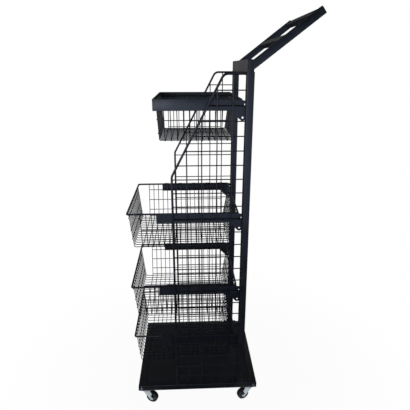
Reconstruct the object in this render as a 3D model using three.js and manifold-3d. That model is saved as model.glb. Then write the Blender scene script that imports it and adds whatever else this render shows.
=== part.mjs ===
// A wire basket rack on four swivel casters.
// Lengths are in millimetres and +Z points up. Shoppers stand on the -Y side.
// A welded base carries two slotted uprights. Three wire baskets and a top bin hang on
// bracket plates hooked into the uprights, between two wire side panels, and a sloping
// sign frame stands in the tops of the uprights.

import * as THREE from 'three';
import { mergeVertices } from 'three/addons/utils/BufferGeometryUtils.js';
import Module from 'manifold-3d';

const wasm = await Module();
wasm.setup();

// Fits that every piece shares
const GAP = 0.3;
const OVERRUN = 5;
const WELD_DEPTH = 0.7;
const MERGE_DISTANCE = 1e-4;

// Base: a ring of square tube with a sheet deck let into it
const BASE_WIDTH = 432;
const BASE_DEPTH = 496;
const BASE_TUBE = 25;
const TUBE_WALL = 1.5;
const WEEP_HOLE = 8;
const DECK_SHEET = 1.5;
const DECK_DROP = 2.5;
const DECK_FLANGE = 14;
const RAIL_WIDTH = 25;
const BOLT_HEAD = 11;
const BOLT_HEAD_THICKNESS = 4;
const BOLT_FROM_END = 12;

// Casters
const WHEEL_DIAMETER = 50;
const WHEEL_WIDTH = 19;
const WHEEL_SHOULDER = 3;
const AXLE_DIAMETER = 8;
const AXLE_HEAD = 13;
const AXLE_HEAD_THICKNESS = 2.5;
const RUNNING_CLEARANCE = 0.4;
const WHEEL_HEADROOM = 12;
const CASTER_TRAIL = 24;
const CASTER_INSET = 31;
const CASTER_PLATE = 56;
const CASTER_PLATE_THICKNESS = 3;
const HOUSING_DIAMETER = 30;
const HOUSING_HEIGHT = 7;
const KINGPIN_DIAMETER = 8;
const KINGPIN_HEAD = 15;
const KINGPIN_HEAD_THICKNESS = 2.4;
const FORK_SHEET = 2.4;
const FORK_SIDE_CLEARANCE = 1.4;
const FORK_CROWN_LENGTH = 34;
const FORK_LIP = 7;
const FORK_EYE = 9;
const CASTER_TURN = THREE.MathUtils.degToRad(20);

// Uprights
const UPRIGHT_WIDTH = 32;
const UPRIGHT_DEPTH = 25;
const UPRIGHT_WALL = 2;
const UPRIGHT_FROM_BACK = 58;
const SLOT_PITCH = 25;
const SLOT_COUNT = 49;
const SLOT_RISE = 22.9;
const SLOT_BELOW_TOP = 17.5;
const FOOT_LENGTH = 62;
const FOOT_PLATE = 3;
const FOOT_SPIGOT = 45;
const TOP_RAIL_HEIGHT = 10;
const TOP_RAIL_DEPTH = 20;
const TOP_RAIL_DROP = 0.3;

// Side panels: a heavy rod bent round the front and a grid of thin wires
const PANEL_ROD = 8;
const PANEL_WIRE = 4;
const PANEL_CLEARANCE = 1.75;
const PANEL_BELOW_TOP = 5;
const PANEL_TOP_RUN = 73;
const PANEL_DEPTH = 250;
const PANEL_SLOPE_HEIGHT = 339;
const PANEL_BEND_RADIUS = 22;
const PANEL_ROW_PITCH = 50;
const PANEL_FIRST_ROW = 51;
const PANEL_LAST_ROW = 36;
const PANEL_LAST_COLUMN = 42;
const PANEL_COLUMNS = 4;

// Baskets: a rim rod, a mesh that runs down the front, along the bottom and up the back,
// and a grid on each side
const BASKET_FROM_UPRIGHT = 13.5;
const BASKET_LENGTH = 402.5;
const BASKET_DEPTH = 145;
const BASKET_RIM_ROD = 7;
const BASKET_CORNER_RADIUS = 8;
const BASKET_WIRE = 3;
const BASKET_FRONT_TAPER = 16;
const BASKET_BACK_TAPER = 25;
const BASKET_SIDE_TAPER = 31.5;
const BASKET_BEND_RADIUS = 5;
const MESH_WIRES = 7;
const MESH_WALL_ROW = 70;
const BOTTOM_ROWS = 5;
const GRID_FROM_FRONT = 47;
const GRID_FROM_BACK = 28;
const GRID_WIRES = 7;
const GRID_ROWS = 3;
const GRID_FIRST_ROW = 25;
const GRID_LAST_ROW = 112;

// Bracket plates, each hooked into two slots. Slots are counted from the lowest one.
const BASKET_SLOT_NUMBERS = { upper: 29, middle: 17, lower: 8 };
const BIN_SLOT_NUMBER = 45;
const SLOTS_TO_SECOND_HOOK = 2;
const BRACKET_SHEET = 2.5;
const BRACKET_REACH = 310;
const BRACKET_TOP = 2;
const BRACKET_HEIGHT = 35;
const BRACKET_GUSSET = 46.5;
const BRACKET_SHOULDER_RUN = 14;
const BRACKET_SHOULDER_DROP = 4;
const BRACKET_FOOT_DROP = 56.2;
const BRACKET_FOOT_INSET = 8.4;
const BRACKET_FOOT_RADIUS = 10.6;
const BRACKET_HOLE = 7;
const BRACKET_NOTCH_DEPTH = 4;
const BRACKET_NOTCH_HEIGHT = 6;
const HOOK_HEIGHT = 12;
const HOOK_BITE = 3;
const HOOK_LIP = 6;
const HOOK_DROP = 6.5;
const SLOT_SIDE_CLEARANCE = 0.5;
const SLOT_END_CLEARANCE = 1.5;

// Top bin: a sheet band round the rim and a wire body that hangs from a rod inside it
const BIN_BAND_HEIGHT = 38;
const BIN_BAND_SHEET = 1.5;
const BIN_FROM_UPRIGHT = 10;
const BIN_LENGTH = 298;
const BIN_CORNER_RADIUS = 4;
const BIN_RIM_ROD = 6;
const BIN_RIM_DROP = 16;
const BIN_RIM_CORNER_RADIUS = 9;
const BIN_BODY_DEPTH = 144;
const BIN_FRONT_TAPER = 8;
const BIN_BACK_TAPER = 16;
const BIN_SIDE_TAPER = 37.5;
const BIN_BEND_RADIUS = 4;
const BIN_MESH_WIRES = 6;
const BIN_WALL_ROW = 60;
const BIN_GRID_FROM_FRONT = 36;
const BIN_GRID_FROM_BACK = 42;
const BIN_GRID_WIRES = 5;
const BIN_GRID_ROW = 72;
const BIN_BOTTOM_ROWS = 4;
const BIN_BRACKET_TOP = 2;
const BIN_BRACKET_REACH = 105;
const BIN_BRACKET_GUSSET = 51;
const BIN_BRACKET_FOOT_DROP = 60.5;

// Sign frame: legs in the uprights, sloping arms, three cross bars and a front plate
const SIGN_LEG_RISE = 38;
const SIGN_LEG_INSERT = 44;
const SIGN_ARM_WIDTH = 20;
const SIGN_ARM_DEPTH = 25;
const SIGN_ARM_LENGTH = 278;
const SIGN_ARM_DROP = 23;
const SIGN_ANGLE = THREE.MathUtils.degToRad(37.2);
const SIGN_BAR_DEPTH = 20;
const SIGN_BAR_WIDTH = 25;
const SIGN_MID_BAR = 139.5;
const SIGN_LOW_BAR_HEIGHT = 20;
const SIGN_PLATE_SHEET = 1.5;

// Sections and round pieces
const WIRE_SIDES = 4;
const BOLT_SIDES = 6;
const HOLE_SEGMENTS = 10;
const ROUND_SEGMENTS = 12;
const WHEEL_SEGMENTS = 18;
const BEND_STEPS = 1;
const CORNER_STEPS = 3;

// Places that follow from the sizes above
const FORK_TOP = WHEEL_DIAMETER + WHEEL_HEADROOM + FORK_SHEET;
const HOUSING_BOTTOM = FORK_TOP + GAP;
const CASTER_TOP = HOUSING_BOTTOM + HOUSING_HEIGHT + CASTER_PLATE_THICKNESS;
const BASE_BOTTOM = CASTER_TOP + GAP;
const BASE_TOP = BASE_BOTTOM + BASE_TUBE;
const BASE_X = BASE_WIDTH / 2;
const BASE_Y = BASE_DEPTH / 2;
const UPRIGHT_X = BASE_X - UPRIGHT_WIDTH / 2;
const UPRIGHT_BACK = BASE_Y - UPRIGHT_FROM_BACK;
const UPRIGHT_FRONT = UPRIGHT_BACK - UPRIGHT_DEPTH;
const UPRIGHT_Y = UPRIGHT_BACK - UPRIGHT_DEPTH / 2;
const UPRIGHT_BOTTOM = BASE_TOP + GAP + FOOT_PLATE + GAP;
const UPRIGHT_TOP = slotHeight(SLOT_COUNT - 1) + SLOT_BELOW_TOP;
const INSERT_WIDTH = UPRIGHT_WIDTH - 2 * UPRIGHT_WALL - 2 * GAP;
const INSERT_DEPTH = UPRIGHT_DEPTH - 2 * UPRIGHT_WALL - 2 * GAP;
const BRACKET_INNER = UPRIGHT_X - BRACKET_SHEET / 2;
const SLOT_WIDTH = BRACKET_SHEET + 2 * SLOT_SIDE_CLEARANCE;
const SLOT_HEIGHT = HOOK_HEIGHT + 2 * SLOT_END_CLEARANCE;
const PANEL_X = UPRIGHT_X + BRACKET_SHEET / 2 + PANEL_CLEARANCE + wireReach(PANEL_ROD);
const PANEL_TOP = UPRIGHT_TOP - PANEL_BELOW_TOP;
const PANEL_BEND_HEIGHT = PANEL_TOP - PANEL_SLOPE_HEIGHT;
const PANEL_COLUMN_PITCH = (PANEL_DEPTH - PANEL_LAST_COLUMN) / PANEL_COLUMNS;
const BASKET_RIM_X = BRACKET_INNER - GAP - BASKET_RIM_ROD / 2;
const BASKET_BACK = UPRIGHT_FRONT - BASKET_FROM_UPRIGHT;
const BASKET_FRONT = BASKET_BACK - BASKET_LENGTH;
const WIRE_REACH = wireReach(BASKET_WIRE);
const WIRE_LAYER = 2 * WIRE_REACH - WELD_DEPTH;
const BASKET_GRID_X = BASKET_RIM_X - WIRE_REACH;
const BIN_TOP = slotHeight(BIN_SLOT_NUMBER) + HOOK_DROP + BIN_BRACKET_TOP;
const BIN_BACK = UPRIGHT_FRONT - BIN_FROM_UPRIGHT;
const BIN_FRONT = BIN_BACK - BIN_LENGTH;
const BIN_HALF_WIDTH = BRACKET_INNER - GAP;
const BIN_ROD_OUTSET = BIN_BAND_SHEET + GAP + BIN_RIM_ROD / 2;
const BIN_GRID_X = BIN_HALF_WIDTH - BIN_ROD_OUTSET - BIN_RIM_ROD / 2 - GAP - WIRE_REACH;
const SIGN_LEG_TOP = UPRIGHT_TOP + SIGN_LEG_RISE;
const SIGN_ARM_START = SIGN_LEG_TOP - SIGN_ARM_DROP;

const COATING = { color: 0x1d2026, roughness: 0.42, metalness: 0.25 };
const ZINC = { color: 0x9ba7ab, roughness: 0.35, metalness: 0.9 };
const RUBBER = { color: 0x17181a, roughness: 0.7, metalness: 0 };

// Half diagonal of a four-sided wire that holds as much metal as a round one.
function wireReach(diameter) {
  return (diameter / 2) * Math.sqrt(Math.PI / 2);
}

// The height of a slot's middle. The lowest slot has the number 0.
function slotHeight(number) {
  return UPRIGHT_BOTTOM + SLOT_RISE + number * SLOT_PITCH;
}

// Evenly spaced places from one end to the other, with both ends among them.
function spread(from, to, count) {
  return Array.from({ length: count }, (_, i) => THREE.MathUtils.lerp(from, to, i / (count - 1)));
}

function solidOf(geometry) {
  const bare = geometry.clone();
  bare.deleteAttribute('normal');
  bare.deleteAttribute('uv');
  const merged = mergeVertices(bare, MERGE_DISTANCE);
  return new wasm.Manifold(new wasm.Mesh({
    numProp: 3,
    vertProperties: new Float32Array(merged.attributes.position.array),
    triVerts: new Uint32Array(merged.index.array),
  }));
}

function geometryOf(solid) {
  const mesh = solid.getMesh();
  const geometry = new THREE.BufferGeometry();
  geometry.setAttribute('position', new THREE.BufferAttribute(new Float32Array(mesh.vertProperties), 3));
  geometry.setIndex(new THREE.BufferAttribute(new Uint32Array(mesh.triVerts), 1));
  geometry.computeVertexNormals();
  return geometry;
}

function join(solids) {
  return solids.reduce((whole, piece) => whole.add(piece));
}

function cut(solid, tools) {
  return tools.reduce((rest, tool) => rest.subtract(tool), solid);
}

// A box from its lowest to its highest corner.
function block(low, high) {
  const size = high.clone().sub(low);
  const centre = low.clone().add(high).multiplyScalar(0.5);
  return solidOf(new THREE.BoxGeometry(size.x, size.y, size.z).translate(centre.x, centre.y, centre.z));
}

function vec(x, y, z) {
  return new THREE.Vector3(x, y, z);
}

// A run of straight stretches, with one ring of the section at each corner.
class BentWire extends THREE.Curve {
  constructor(points) {
    super();
    this.points = points;
  }

  getPoint(share, target = new THREE.Vector3()) {
    const place = Math.round(share * (this.points.length - 1));
    return target.copy(this.points[place]);
  }

  getPointAt(share, target) {
    return this.getPoint(share, target);
  }

  getTangentAt(share, target = new THREE.Vector3()) {
    const place = Math.round(share * (this.points.length - 1));
    const here = this.points[place];
    const before = this.points[place - 1] ?? here;
    const after = this.points[place + 1] ?? here;
    const inward = here.clone().sub(before).normalize();
    const outward = after.clone().sub(here).normalize();
    return target.copy(inward).add(outward).normalize();
  }
}

// Replaces each inner corner of a polyline with an arc.
function roundCorners(corners, radius, steps) {
  const path = [corners[0]];
  for (let i = 1; i < corners.length - 1; i++) {
    const toLast = corners[i - 1].clone().sub(corners[i]).normalize();
    const toNext = corners[i + 1].clone().sub(corners[i]).normalize();
    const half = toLast.angleTo(toNext) / 2;
    const bisector = toLast.clone().add(toNext).normalize();
    const centre = corners[i].clone().addScaledVector(bisector, radius / Math.sin(half));
    const start = corners[i].clone().addScaledVector(toLast, radius / Math.tan(half)).sub(centre);
    const end = corners[i].clone().addScaledVector(toNext, radius / Math.tan(half)).sub(centre);
    const sweep = start.angleTo(end);
    for (let k = 0; k <= steps; k++) {
      const from = Math.sin(sweep * (1 - k / steps)) / Math.sin(sweep);
      const to = Math.sin(sweep * (k / steps)) / Math.sin(sweep);
      path.push(centre.clone().addScaledVector(start, from).addScaledVector(end, to));
    }
  }
  path.push(corners[corners.length - 1]);
  return path;
}

function polygon(reach, sides) {
  const shape = new THREE.Shape();
  for (let i = 0; i < sides; i++) {
    const angle = (2 * Math.PI * i) / sides;
    const place = [reach * Math.cos(angle), reach * Math.sin(angle)];
    if (i === 0) shape.moveTo(...place);
    else shape.lineTo(...place);
  }
  shape.closePath();
  return shape;
}

// A wire or rod along a list of points.
function wire(points, diameter) {
  return solidOf(new THREE.ExtrudeGeometry(polygon(wireReach(diameter), WIRE_SIDES), {
    steps: points.length - 1,
    extrudePath: new BentWire(points),
    bevelEnabled: false,
  }));
}

// A flat plate in the YZ plane, drawn as (y, z) points and centred on x.
function platePiece(shape, thickness, x) {
  const geometry = new THREE.ExtrudeGeometry(shape, {
    depth: thickness, bevelEnabled: false, curveSegments: CORNER_STEPS,
  });
  geometry.rotateY(Math.PI / 2).rotateX(Math.PI / 2);
  geometry.translate(x - thickness / 2, 0, 0);
  return solidOf(geometry);
}

// A flat outline in the XY plane, raised from one height to another.
function raised(shape, bottom, top, segments = CORNER_STEPS) {
  const geometry = new THREE.ExtrudeGeometry(shape, {
    depth: top - bottom, bevelEnabled: false, curveSegments: segments,
  });
  return solidOf(geometry.translate(0, 0, bottom));
}

function roundedRectangle(xReach, yLow, yHigh, radius) {
  const outline = new THREE.Path();
  outline.moveTo(-xReach + radius, yLow);
  outline.lineTo(xReach - radius, yLow);
  outline.absarc(xReach - radius, yLow + radius, radius, -Math.PI / 2, 0, false);
  outline.lineTo(xReach, yHigh - radius);
  outline.absarc(xReach - radius, yHigh - radius, radius, 0, Math.PI / 2, false);
  outline.lineTo(-xReach + radius, yHigh);
  outline.absarc(-xReach + radius, yHigh - radius, radius, Math.PI / 2, Math.PI, false);
  outline.lineTo(-xReach, yLow + radius);
  outline.absarc(-xReach + radius, yLow + radius, radius, Math.PI, 1.5 * Math.PI, false);
  return outline;
}

// A closed band: the space between a rounded rectangle and a smaller one inside it.
function ringShape(xReach, yLow, yHigh, radius, thickness) {
  const outer = roundedRectangle(xReach, yLow, yHigh, radius);
  const innerRadius = Math.max(radius - thickness, thickness / 2);
  const inner = roundedRectangle(xReach - thickness, yLow + thickness, yHigh - thickness, innerRadius);
  const shape = new THREE.Shape(outer.getPoints(CORNER_STEPS));
  shape.holes.push(new THREE.Path(inner.getPoints(CORNER_STEPS)));
  return shape;
}

// A cylinder about an upright axis, from one height to another.
function post(diameter, bottom, top, segments = ROUND_SEGMENTS) {
  const geometry = new THREE.CylinderGeometry(diameter / 2, diameter / 2, top - bottom, segments);
  return solidOf(geometry.rotateX(Math.PI / 2).translate(0, 0, (bottom + top) / 2));
}

// A cylinder along X, centred at y and z.
function crossPin(diameter, low, high, y, z, segments = ROUND_SEGMENTS) {
  const geometry = new THREE.CylinderGeometry(diameter / 2, diameter / 2, high - low, segments);
  return solidOf(geometry.rotateZ(Math.PI / 2).translate((low + high) / 2, y, z));
}

// A rectangular bar in the YZ plane from a start point, at an angle above the horizontal.
function slopedBar(width, depth, start, angle, from, to) {
  const geometry = new THREE.BoxGeometry(width, to - from, depth);
  geometry.translate(0, (from + to) / 2, 0).rotateX(angle);
  return solidOf(geometry.translate(start.x, start.y, start.z));
}

// An open-ended rectangular tube along X.
function crossTube(halfLength, yLow, yHigh, zLow, zHigh, wall) {
  const outer = block(vec(-halfLength, yLow, zLow), vec(halfLength, yHigh, zHigh));
  const bore = block(
    vec(-halfLength - OVERRUN, yLow + wall, zLow + wall),
    vec(halfLength + OVERRUN, yHigh - wall, zHigh - wall),
  );
  return outer.subtract(bore);
}

// A closed ring of square tube with a weep hole under its front and back runs.
function baseFrame() {
  const ring = new THREE.Shape(rectanglePoints(BASE_X, BASE_Y));
  ring.holes.push(new THREE.Path(rectanglePoints(BASE_X - BASE_TUBE, BASE_Y - BASE_TUBE)));
  const outer = raised(ring, BASE_BOTTOM, BASE_TOP);
  const hollow = new THREE.Shape(rectanglePoints(BASE_X - TUBE_WALL, BASE_Y - TUBE_WALL));
  const inset = BASE_TUBE - TUBE_WALL;
  hollow.holes.push(new THREE.Path(rectanglePoints(BASE_X - inset, BASE_Y - inset)));
  const bore = raised(hollow, BASE_BOTTOM + TUBE_WALL, BASE_TOP - TUBE_WALL);
  const weeps = [-1, 1].map((side) => {
    const y = side * (BASE_Y - BASE_TUBE / 2);
    const half = WEEP_HOLE / 2;
    return block(vec(-half, y - half, BASE_BOTTOM - OVERRUN), vec(half, y + half, BASE_BOTTOM + OVERRUN));
  });
  return cut(outer, [bore, ...weeps]);
}

function rectanglePoints(xReach, yReach) {
  return [[-1, -1], [1, -1], [1, 1], [-1, 1]].map(([x, y]) => new THREE.Vector2(x * xReach, y * yReach));
}

// The deck: a sheet inside the ring, with a flange turned down along its front and back.
function deckPanel() {
  const halfX = BASE_X - BASE_TUBE - GAP;
  const halfY = BASE_Y - BASE_TUBE - GAP;
  const top = BASE_TOP - DECK_DROP;
  const sheet = block(vec(-halfX, -halfY, top - DECK_SHEET), vec(halfX, halfY, top));
  const flanges = [-1, 1].map((side) => {
    const outer = side * halfY;
    const inner = side * (halfY - DECK_SHEET);
    return block(
      vec(-halfX, Math.min(outer, inner), top - DECK_FLANGE),
      vec(halfX, Math.max(outer, inner), top - DECK_SHEET / 2),
    );
  });
  return join([sheet, ...flanges]);
}

// The tube across the middle of the ring that the deck rests on.
function deckRail() {
  const halfX = BASE_X - BASE_TUBE - GAP;
  const top = BASE_TOP - DECK_DROP - DECK_SHEET - GAP;
  return crossTube(halfX, -RAIL_WIDTH / 2, RAIL_WIDTH / 2, BASE_BOTTOM, top, TUBE_WALL);
}

// A hexagon head that stands on the side face of the base, about its own centre.
function boltHead() {
  return crossPin(BOLT_HEAD, GAP, GAP + BOLT_HEAD_THICKNESS, 0, 0, BOLT_SIDES);
}

// The caster's fixed half: plate, bearing housing and kingpin, about the swivel axis.
function casterPlate() {
  const under = CASTER_TOP - CASTER_PLATE_THICKNESS;
  const half = CASTER_PLATE / 2;
  const plate = block(vec(-half, -half, under), vec(half, half, CASTER_TOP));
  const housing = post(HOUSING_DIAMETER, HOUSING_BOTTOM, under + WELD_DEPTH);
  const pinEnd = FORK_TOP - FORK_SHEET - GAP;
  const pin = post(KINGPIN_DIAMETER, pinEnd - KINGPIN_HEAD_THICKNESS / 2, under);
  const head = post(KINGPIN_HEAD, pinEnd - KINGPIN_HEAD_THICKNESS, pinEnd);
  return join([plate, housing, pin, head]);
}

// The turning fork: a crown with a hole for the kingpin and two legs that trail back
// to the axle. The trail runs along +Y.
function casterFork() {
  const legInner = WHEEL_WIDTH / 2 + FORK_SIDE_CLEARANCE;
  const legOuter = legInner + FORK_SHEET;
  const half = FORK_CROWN_LENGTH / 2;
  const crown = block(vec(-legOuter, -half, FORK_TOP - FORK_SHEET), vec(legOuter, half, FORK_TOP));
  const axleHeight = WHEEL_DIAMETER / 2;
  const leg = new THREE.Shape();
  leg.moveTo(-half, FORK_TOP);
  leg.lineTo(-half, FORK_TOP - FORK_LIP);
  leg.lineTo(CASTER_TRAIL - FORK_EYE, axleHeight);
  leg.absarc(CASTER_TRAIL, axleHeight, FORK_EYE, Math.PI, 2 * Math.PI, false);
  leg.lineTo(CASTER_TRAIL + FORK_EYE, axleHeight + FORK_EYE);
  leg.lineTo(half, FORK_TOP);
  leg.closePath();
  const place = (legInner + legOuter) / 2;
  const legs = [-1, 1].map((side) => platePiece(leg, FORK_SHEET, side * place));
  const pinBore = KINGPIN_DIAMETER + 2 * RUNNING_CLEARANCE;
  const pinHole = post(pinBore, FORK_TOP - FORK_SHEET - OVERRUN, FORK_TOP + OVERRUN, HOLE_SEGMENTS);
  const axleHole = crossPin(
    AXLE_DIAMETER + 2 * GAP, -legOuter - OVERRUN, legOuter + OVERRUN, CASTER_TRAIL, axleHeight, HOLE_SEGMENTS,
  );
  return cut(join([crown, ...legs]), [pinHole, axleHole]);
}

// The axle, about its own centre, with a head outside each leg.
function casterAxle() {
  const legOuter = WHEEL_WIDTH / 2 + FORK_SIDE_CLEARANCE + FORK_SHEET;
  const headStart = legOuter + GAP;
  const headEnd = headStart + AXLE_HEAD_THICKNESS;
  const pin = crossPin(AXLE_DIAMETER, -headStart - WELD_DEPTH, headStart + WELD_DEPTH, 0, 0);
  const heads = [-1, 1].map((side) => {
    const ends = [side * headStart, side * headEnd].sort((a, b) => a - b);
    return crossPin(AXLE_HEAD, ends[0], ends[1], 0, 0);
  });
  return join([pin, ...heads]);
}

// A wheel about its own centre, with rounded shoulders and a bored hub.
function casterWheel() {
  const half = WHEEL_WIDTH / 2;
  const outer = WHEEL_DIAMETER / 2;
  const bore = AXLE_DIAMETER / 2 + RUNNING_CLEARANCE;
  const profile = [
    [bore, -half],
    [outer - WHEEL_SHOULDER, -half],
    [outer, -half + WHEEL_SHOULDER],
    [outer, half - WHEEL_SHOULDER],
    [outer - WHEEL_SHOULDER, half],
    [bore, half],
  ].map(([radius, place]) => new THREE.Vector2(radius, place));
  profile.push(profile[0].clone());
  return solidOf(new THREE.LatheGeometry(profile, WHEEL_SEGMENTS).rotateZ(Math.PI / 2));
}

// An upright about its own centre line: a tube open at both ends, slotted all the way up
// its front wall.
function upright() {
  const outer = block(
    vec(-UPRIGHT_WIDTH / 2, UPRIGHT_FRONT, UPRIGHT_BOTTOM),
    vec(UPRIGHT_WIDTH / 2, UPRIGHT_BACK, UPRIGHT_TOP),
  );
  const boreX = UPRIGHT_WIDTH / 2 - UPRIGHT_WALL;
  const bore = block(
    vec(-boreX, UPRIGHT_FRONT + UPRIGHT_WALL, UPRIGHT_BOTTOM - OVERRUN),
    vec(boreX, UPRIGHT_BACK - UPRIGHT_WALL, UPRIGHT_TOP + OVERRUN),
  );
  const middles = spread(slotHeight(0), slotHeight(SLOT_COUNT - 1), SLOT_COUNT);
  const slots = middles.map((middle) => block(
    vec(-SLOT_WIDTH / 2, UPRIGHT_FRONT - OVERRUN, middle - SLOT_HEIGHT / 2),
    vec(SLOT_WIDTH / 2, UPRIGHT_FRONT + UPRIGHT_WALL + OVERRUN, middle + SLOT_HEIGHT / 2),
  ));
  return cut(outer, [bore, ...slots]);
}

// The foot: a plate on the base tube with a spigot that fills the upright's lower end.
function uprightFoot() {
  const plate = block(
    vec(-UPRIGHT_WIDTH / 2, UPRIGHT_Y - FOOT_LENGTH / 2, BASE_TOP + GAP),
    vec(UPRIGHT_WIDTH / 2, UPRIGHT_Y + FOOT_LENGTH / 2, BASE_TOP + GAP + FOOT_PLATE),
  );
  const spigot = block(
    vec(-INSERT_WIDTH / 2, UPRIGHT_Y - INSERT_DEPTH / 2, BASE_TOP + GAP + FOOT_PLATE / 2),
    vec(INSERT_WIDTH / 2, UPRIGHT_Y + INSERT_DEPTH / 2, UPRIGHT_BOTTOM + FOOT_SPIGOT),
  );
  return plate.add(spigot);
}

// The tube that ties the uprights' tops, a little below their ends.
function topRail() {
  const halfLength = UPRIGHT_X - UPRIGHT_WIDTH / 2 - GAP;
  const low = UPRIGHT_Y - TOP_RAIL_DEPTH / 2;
  const top = UPRIGHT_TOP - TOP_RAIL_DROP;
  return crossTube(halfLength, low, low + TOP_RAIL_DEPTH, top - TOP_RAIL_HEIGHT, top, TUBE_WALL);
}

// Where the panel's front rod stands at a height, on its axis.
function panelFrontAt(height) {
  const front = UPRIGHT_FRONT - PANEL_DEPTH;
  if (height <= PANEL_BEND_HEIGHT) return front;
  return front + ((height - PANEL_BEND_HEIGHT) * (PANEL_DEPTH - PANEL_TOP_RUN)) / PANEL_SLOPE_HEIGHT;
}

// The height of the panel's outline above a place along Y.
function panelTopAt(place) {
  const front = UPRIGHT_FRONT - PANEL_DEPTH;
  const rise = ((place - front) * PANEL_SLOPE_HEIGHT) / (PANEL_DEPTH - PANEL_TOP_RUN);
  return Math.min(PANEL_TOP, PANEL_BEND_HEIGHT + rise);
}

// A side panel in its own plane, at x = 0. The rows lie on one side of the columns.
function sidePanel() {
  const end = UPRIGHT_FRONT - GAP;
  const front = UPRIGHT_FRONT - PANEL_DEPTH;
  const outline = roundCorners([
    vec(0, end, PANEL_TOP),
    vec(0, UPRIGHT_FRONT - PANEL_TOP_RUN, PANEL_TOP),
    vec(0, front, PANEL_BEND_HEIGHT),
    vec(0, front, BASE_TOP + GAP),
  ], PANEL_BEND_RADIUS, CORNER_STEPS);
  const pieces = [wire(outline, PANEL_ROD)];
  const layer = wireReach(PANEL_WIRE) - WELD_DEPTH / 2;
  const lastRow = BASE_TOP + PANEL_LAST_ROW;
  for (let height = PANEL_TOP - PANEL_FIRST_ROW; height >= lastRow; height -= PANEL_ROW_PITCH) {
    pieces.push(wire([vec(-layer, panelFrontAt(height), height), vec(-layer, end, height)], PANEL_WIRE));
  }
  for (let column = 1; column <= PANEL_COLUMNS; column++) {
    const place = front + column * PANEL_COLUMN_PITCH;
    pieces.push(wire([vec(layer, place, BASE_TOP + GAP), vec(layer, place, panelTopAt(place))], PANEL_WIRE));
  }
  return join(pieces);
}

// The basket's rim rod, with its axis at height 0.
function basketRim() {
  const half = BASKET_RIM_ROD / 2;
  const radius = BASKET_CORNER_RADIUS + half;
  const ring = ringShape(
    BASKET_RIM_X + half, BASKET_FRONT - half, BASKET_BACK + half, radius, BASKET_RIM_ROD,
  );
  return raised(ring, -half, half);
}

// A mesh that runs down the front, along the bottom and up the back. Its long wires lie
// inside and the cross rows outside, welded where they cross.
function wireMesh(size) {
  const frontFoot = vec(0, size.front + size.frontTaper, size.bottom);
  const backFoot = vec(0, size.back - size.backTaper, size.bottom);
  const frontTop = vec(0, size.front, size.top);
  const backTop = vec(0, size.back, size.top);
  const path = roundCorners([frontTop, frontFoot, backFoot, backTop], size.bend, BEND_STEPS);
  const pieces = [];
  for (const x of spread(-size.outerX, size.outerX, size.wires)) {
    pieces.push(wire(path.map((point) => point.clone().setX(x)), BASKET_WIRE));
  }
  const half = size.outerX + WIRE_REACH;
  const row = (y, z) => pieces.push(wire([vec(-half, y, z), vec(half, y, z)], BASKET_WIRE));
  const wallShare = (size.top - size.wallRow) / (size.top - size.bottom);
  row(size.front + size.frontTaper * wallShare - WIRE_LAYER, size.wallRow);
  row(size.back - size.backTaper * wallShare + WIRE_LAYER, size.wallRow);
  for (const y of spread(frontFoot.y + size.bend, backFoot.y - size.bend, size.bottomRows)) {
    row(y, size.bottom - WIRE_LAYER);
  }
  return join(pieces);
}

// A side grid that leans in towards its foot, with its top at x = 0: uprights inside and
// rows outside, towards +x.
function sideGrid(size) {
  const leanAt = (z) => (-size.taper * (size.top - z)) / (size.top - size.foot);
  const pieces = [];
  for (const y of spread(size.start, size.end, size.wires)) {
    pieces.push(wire([vec(0, y, size.top), vec(-size.taper, y, size.foot)], BASKET_WIRE));
  }
  for (const z of [...size.rows, size.foot + WIRE_REACH]) {
    const x = leanAt(z) + WIRE_LAYER;
    pieces.push(wire([vec(x, size.start - WIRE_REACH, z), vec(x, size.end + WIRE_REACH, z)], BASKET_WIRE));
  }
  return join(pieces);
}

function basketMesh() {
  return wireMesh({
    front: BASKET_FRONT,
    back: BASKET_BACK,
    top: -BASKET_RIM_ROD / 2 - 2 * GAP,
    bottom: -BASKET_DEPTH,
    frontTaper: BASKET_FRONT_TAPER,
    backTaper: BASKET_BACK_TAPER,
    bend: BASKET_BEND_RADIUS,
    wallRow: -MESH_WALL_ROW,
    bottomRows: BOTTOM_ROWS,
    outerX: BASKET_GRID_X - BASKET_SIDE_TAPER - 2 * WIRE_REACH - GAP,
    wires: MESH_WIRES,
  });
}

function basketGrid() {
  return sideGrid({
    start: BASKET_FRONT + GRID_FROM_FRONT,
    end: BASKET_BACK - GRID_FROM_BACK,
    wires: GRID_WIRES,
    top: -BASKET_RIM_ROD / 2 - 2 * GAP,
    foot: WIRE_REACH + GAP - BASKET_DEPTH,
    taper: BASKET_SIDE_TAPER,
    rows: spread(-GRID_FIRST_ROW, -GRID_LAST_ROW, GRID_ROWS),
  });
}

// The two hooks that pass through slots and drop behind the upright's front wall.
function hooks(top) {
  const back = UPRIGHT_FRONT + UPRIGHT_WALL + GAP;
  const front = UPRIGHT_FRONT - OVERRUN;
  return [0, SLOTS_TO_SECOND_HOOK * SLOT_PITCH].map((drop) => {
    const upper = top - HOOK_DROP - drop + HOOK_HEIGHT / 2;
    const lower = upper - HOOK_HEIGHT;
    const outline = [
      [front, upper],
      [front, lower],
      [back, lower],
      [back, lower - HOOK_LIP],
      [back + HOOK_BITE, lower - HOOK_LIP],
      [back + HOOK_BITE, upper],
    ].map(([y, z]) => new THREE.Vector2(y, z));
    return platePiece(new THREE.Shape(outline), BRACKET_SHEET, 0);
  });
}

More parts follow.
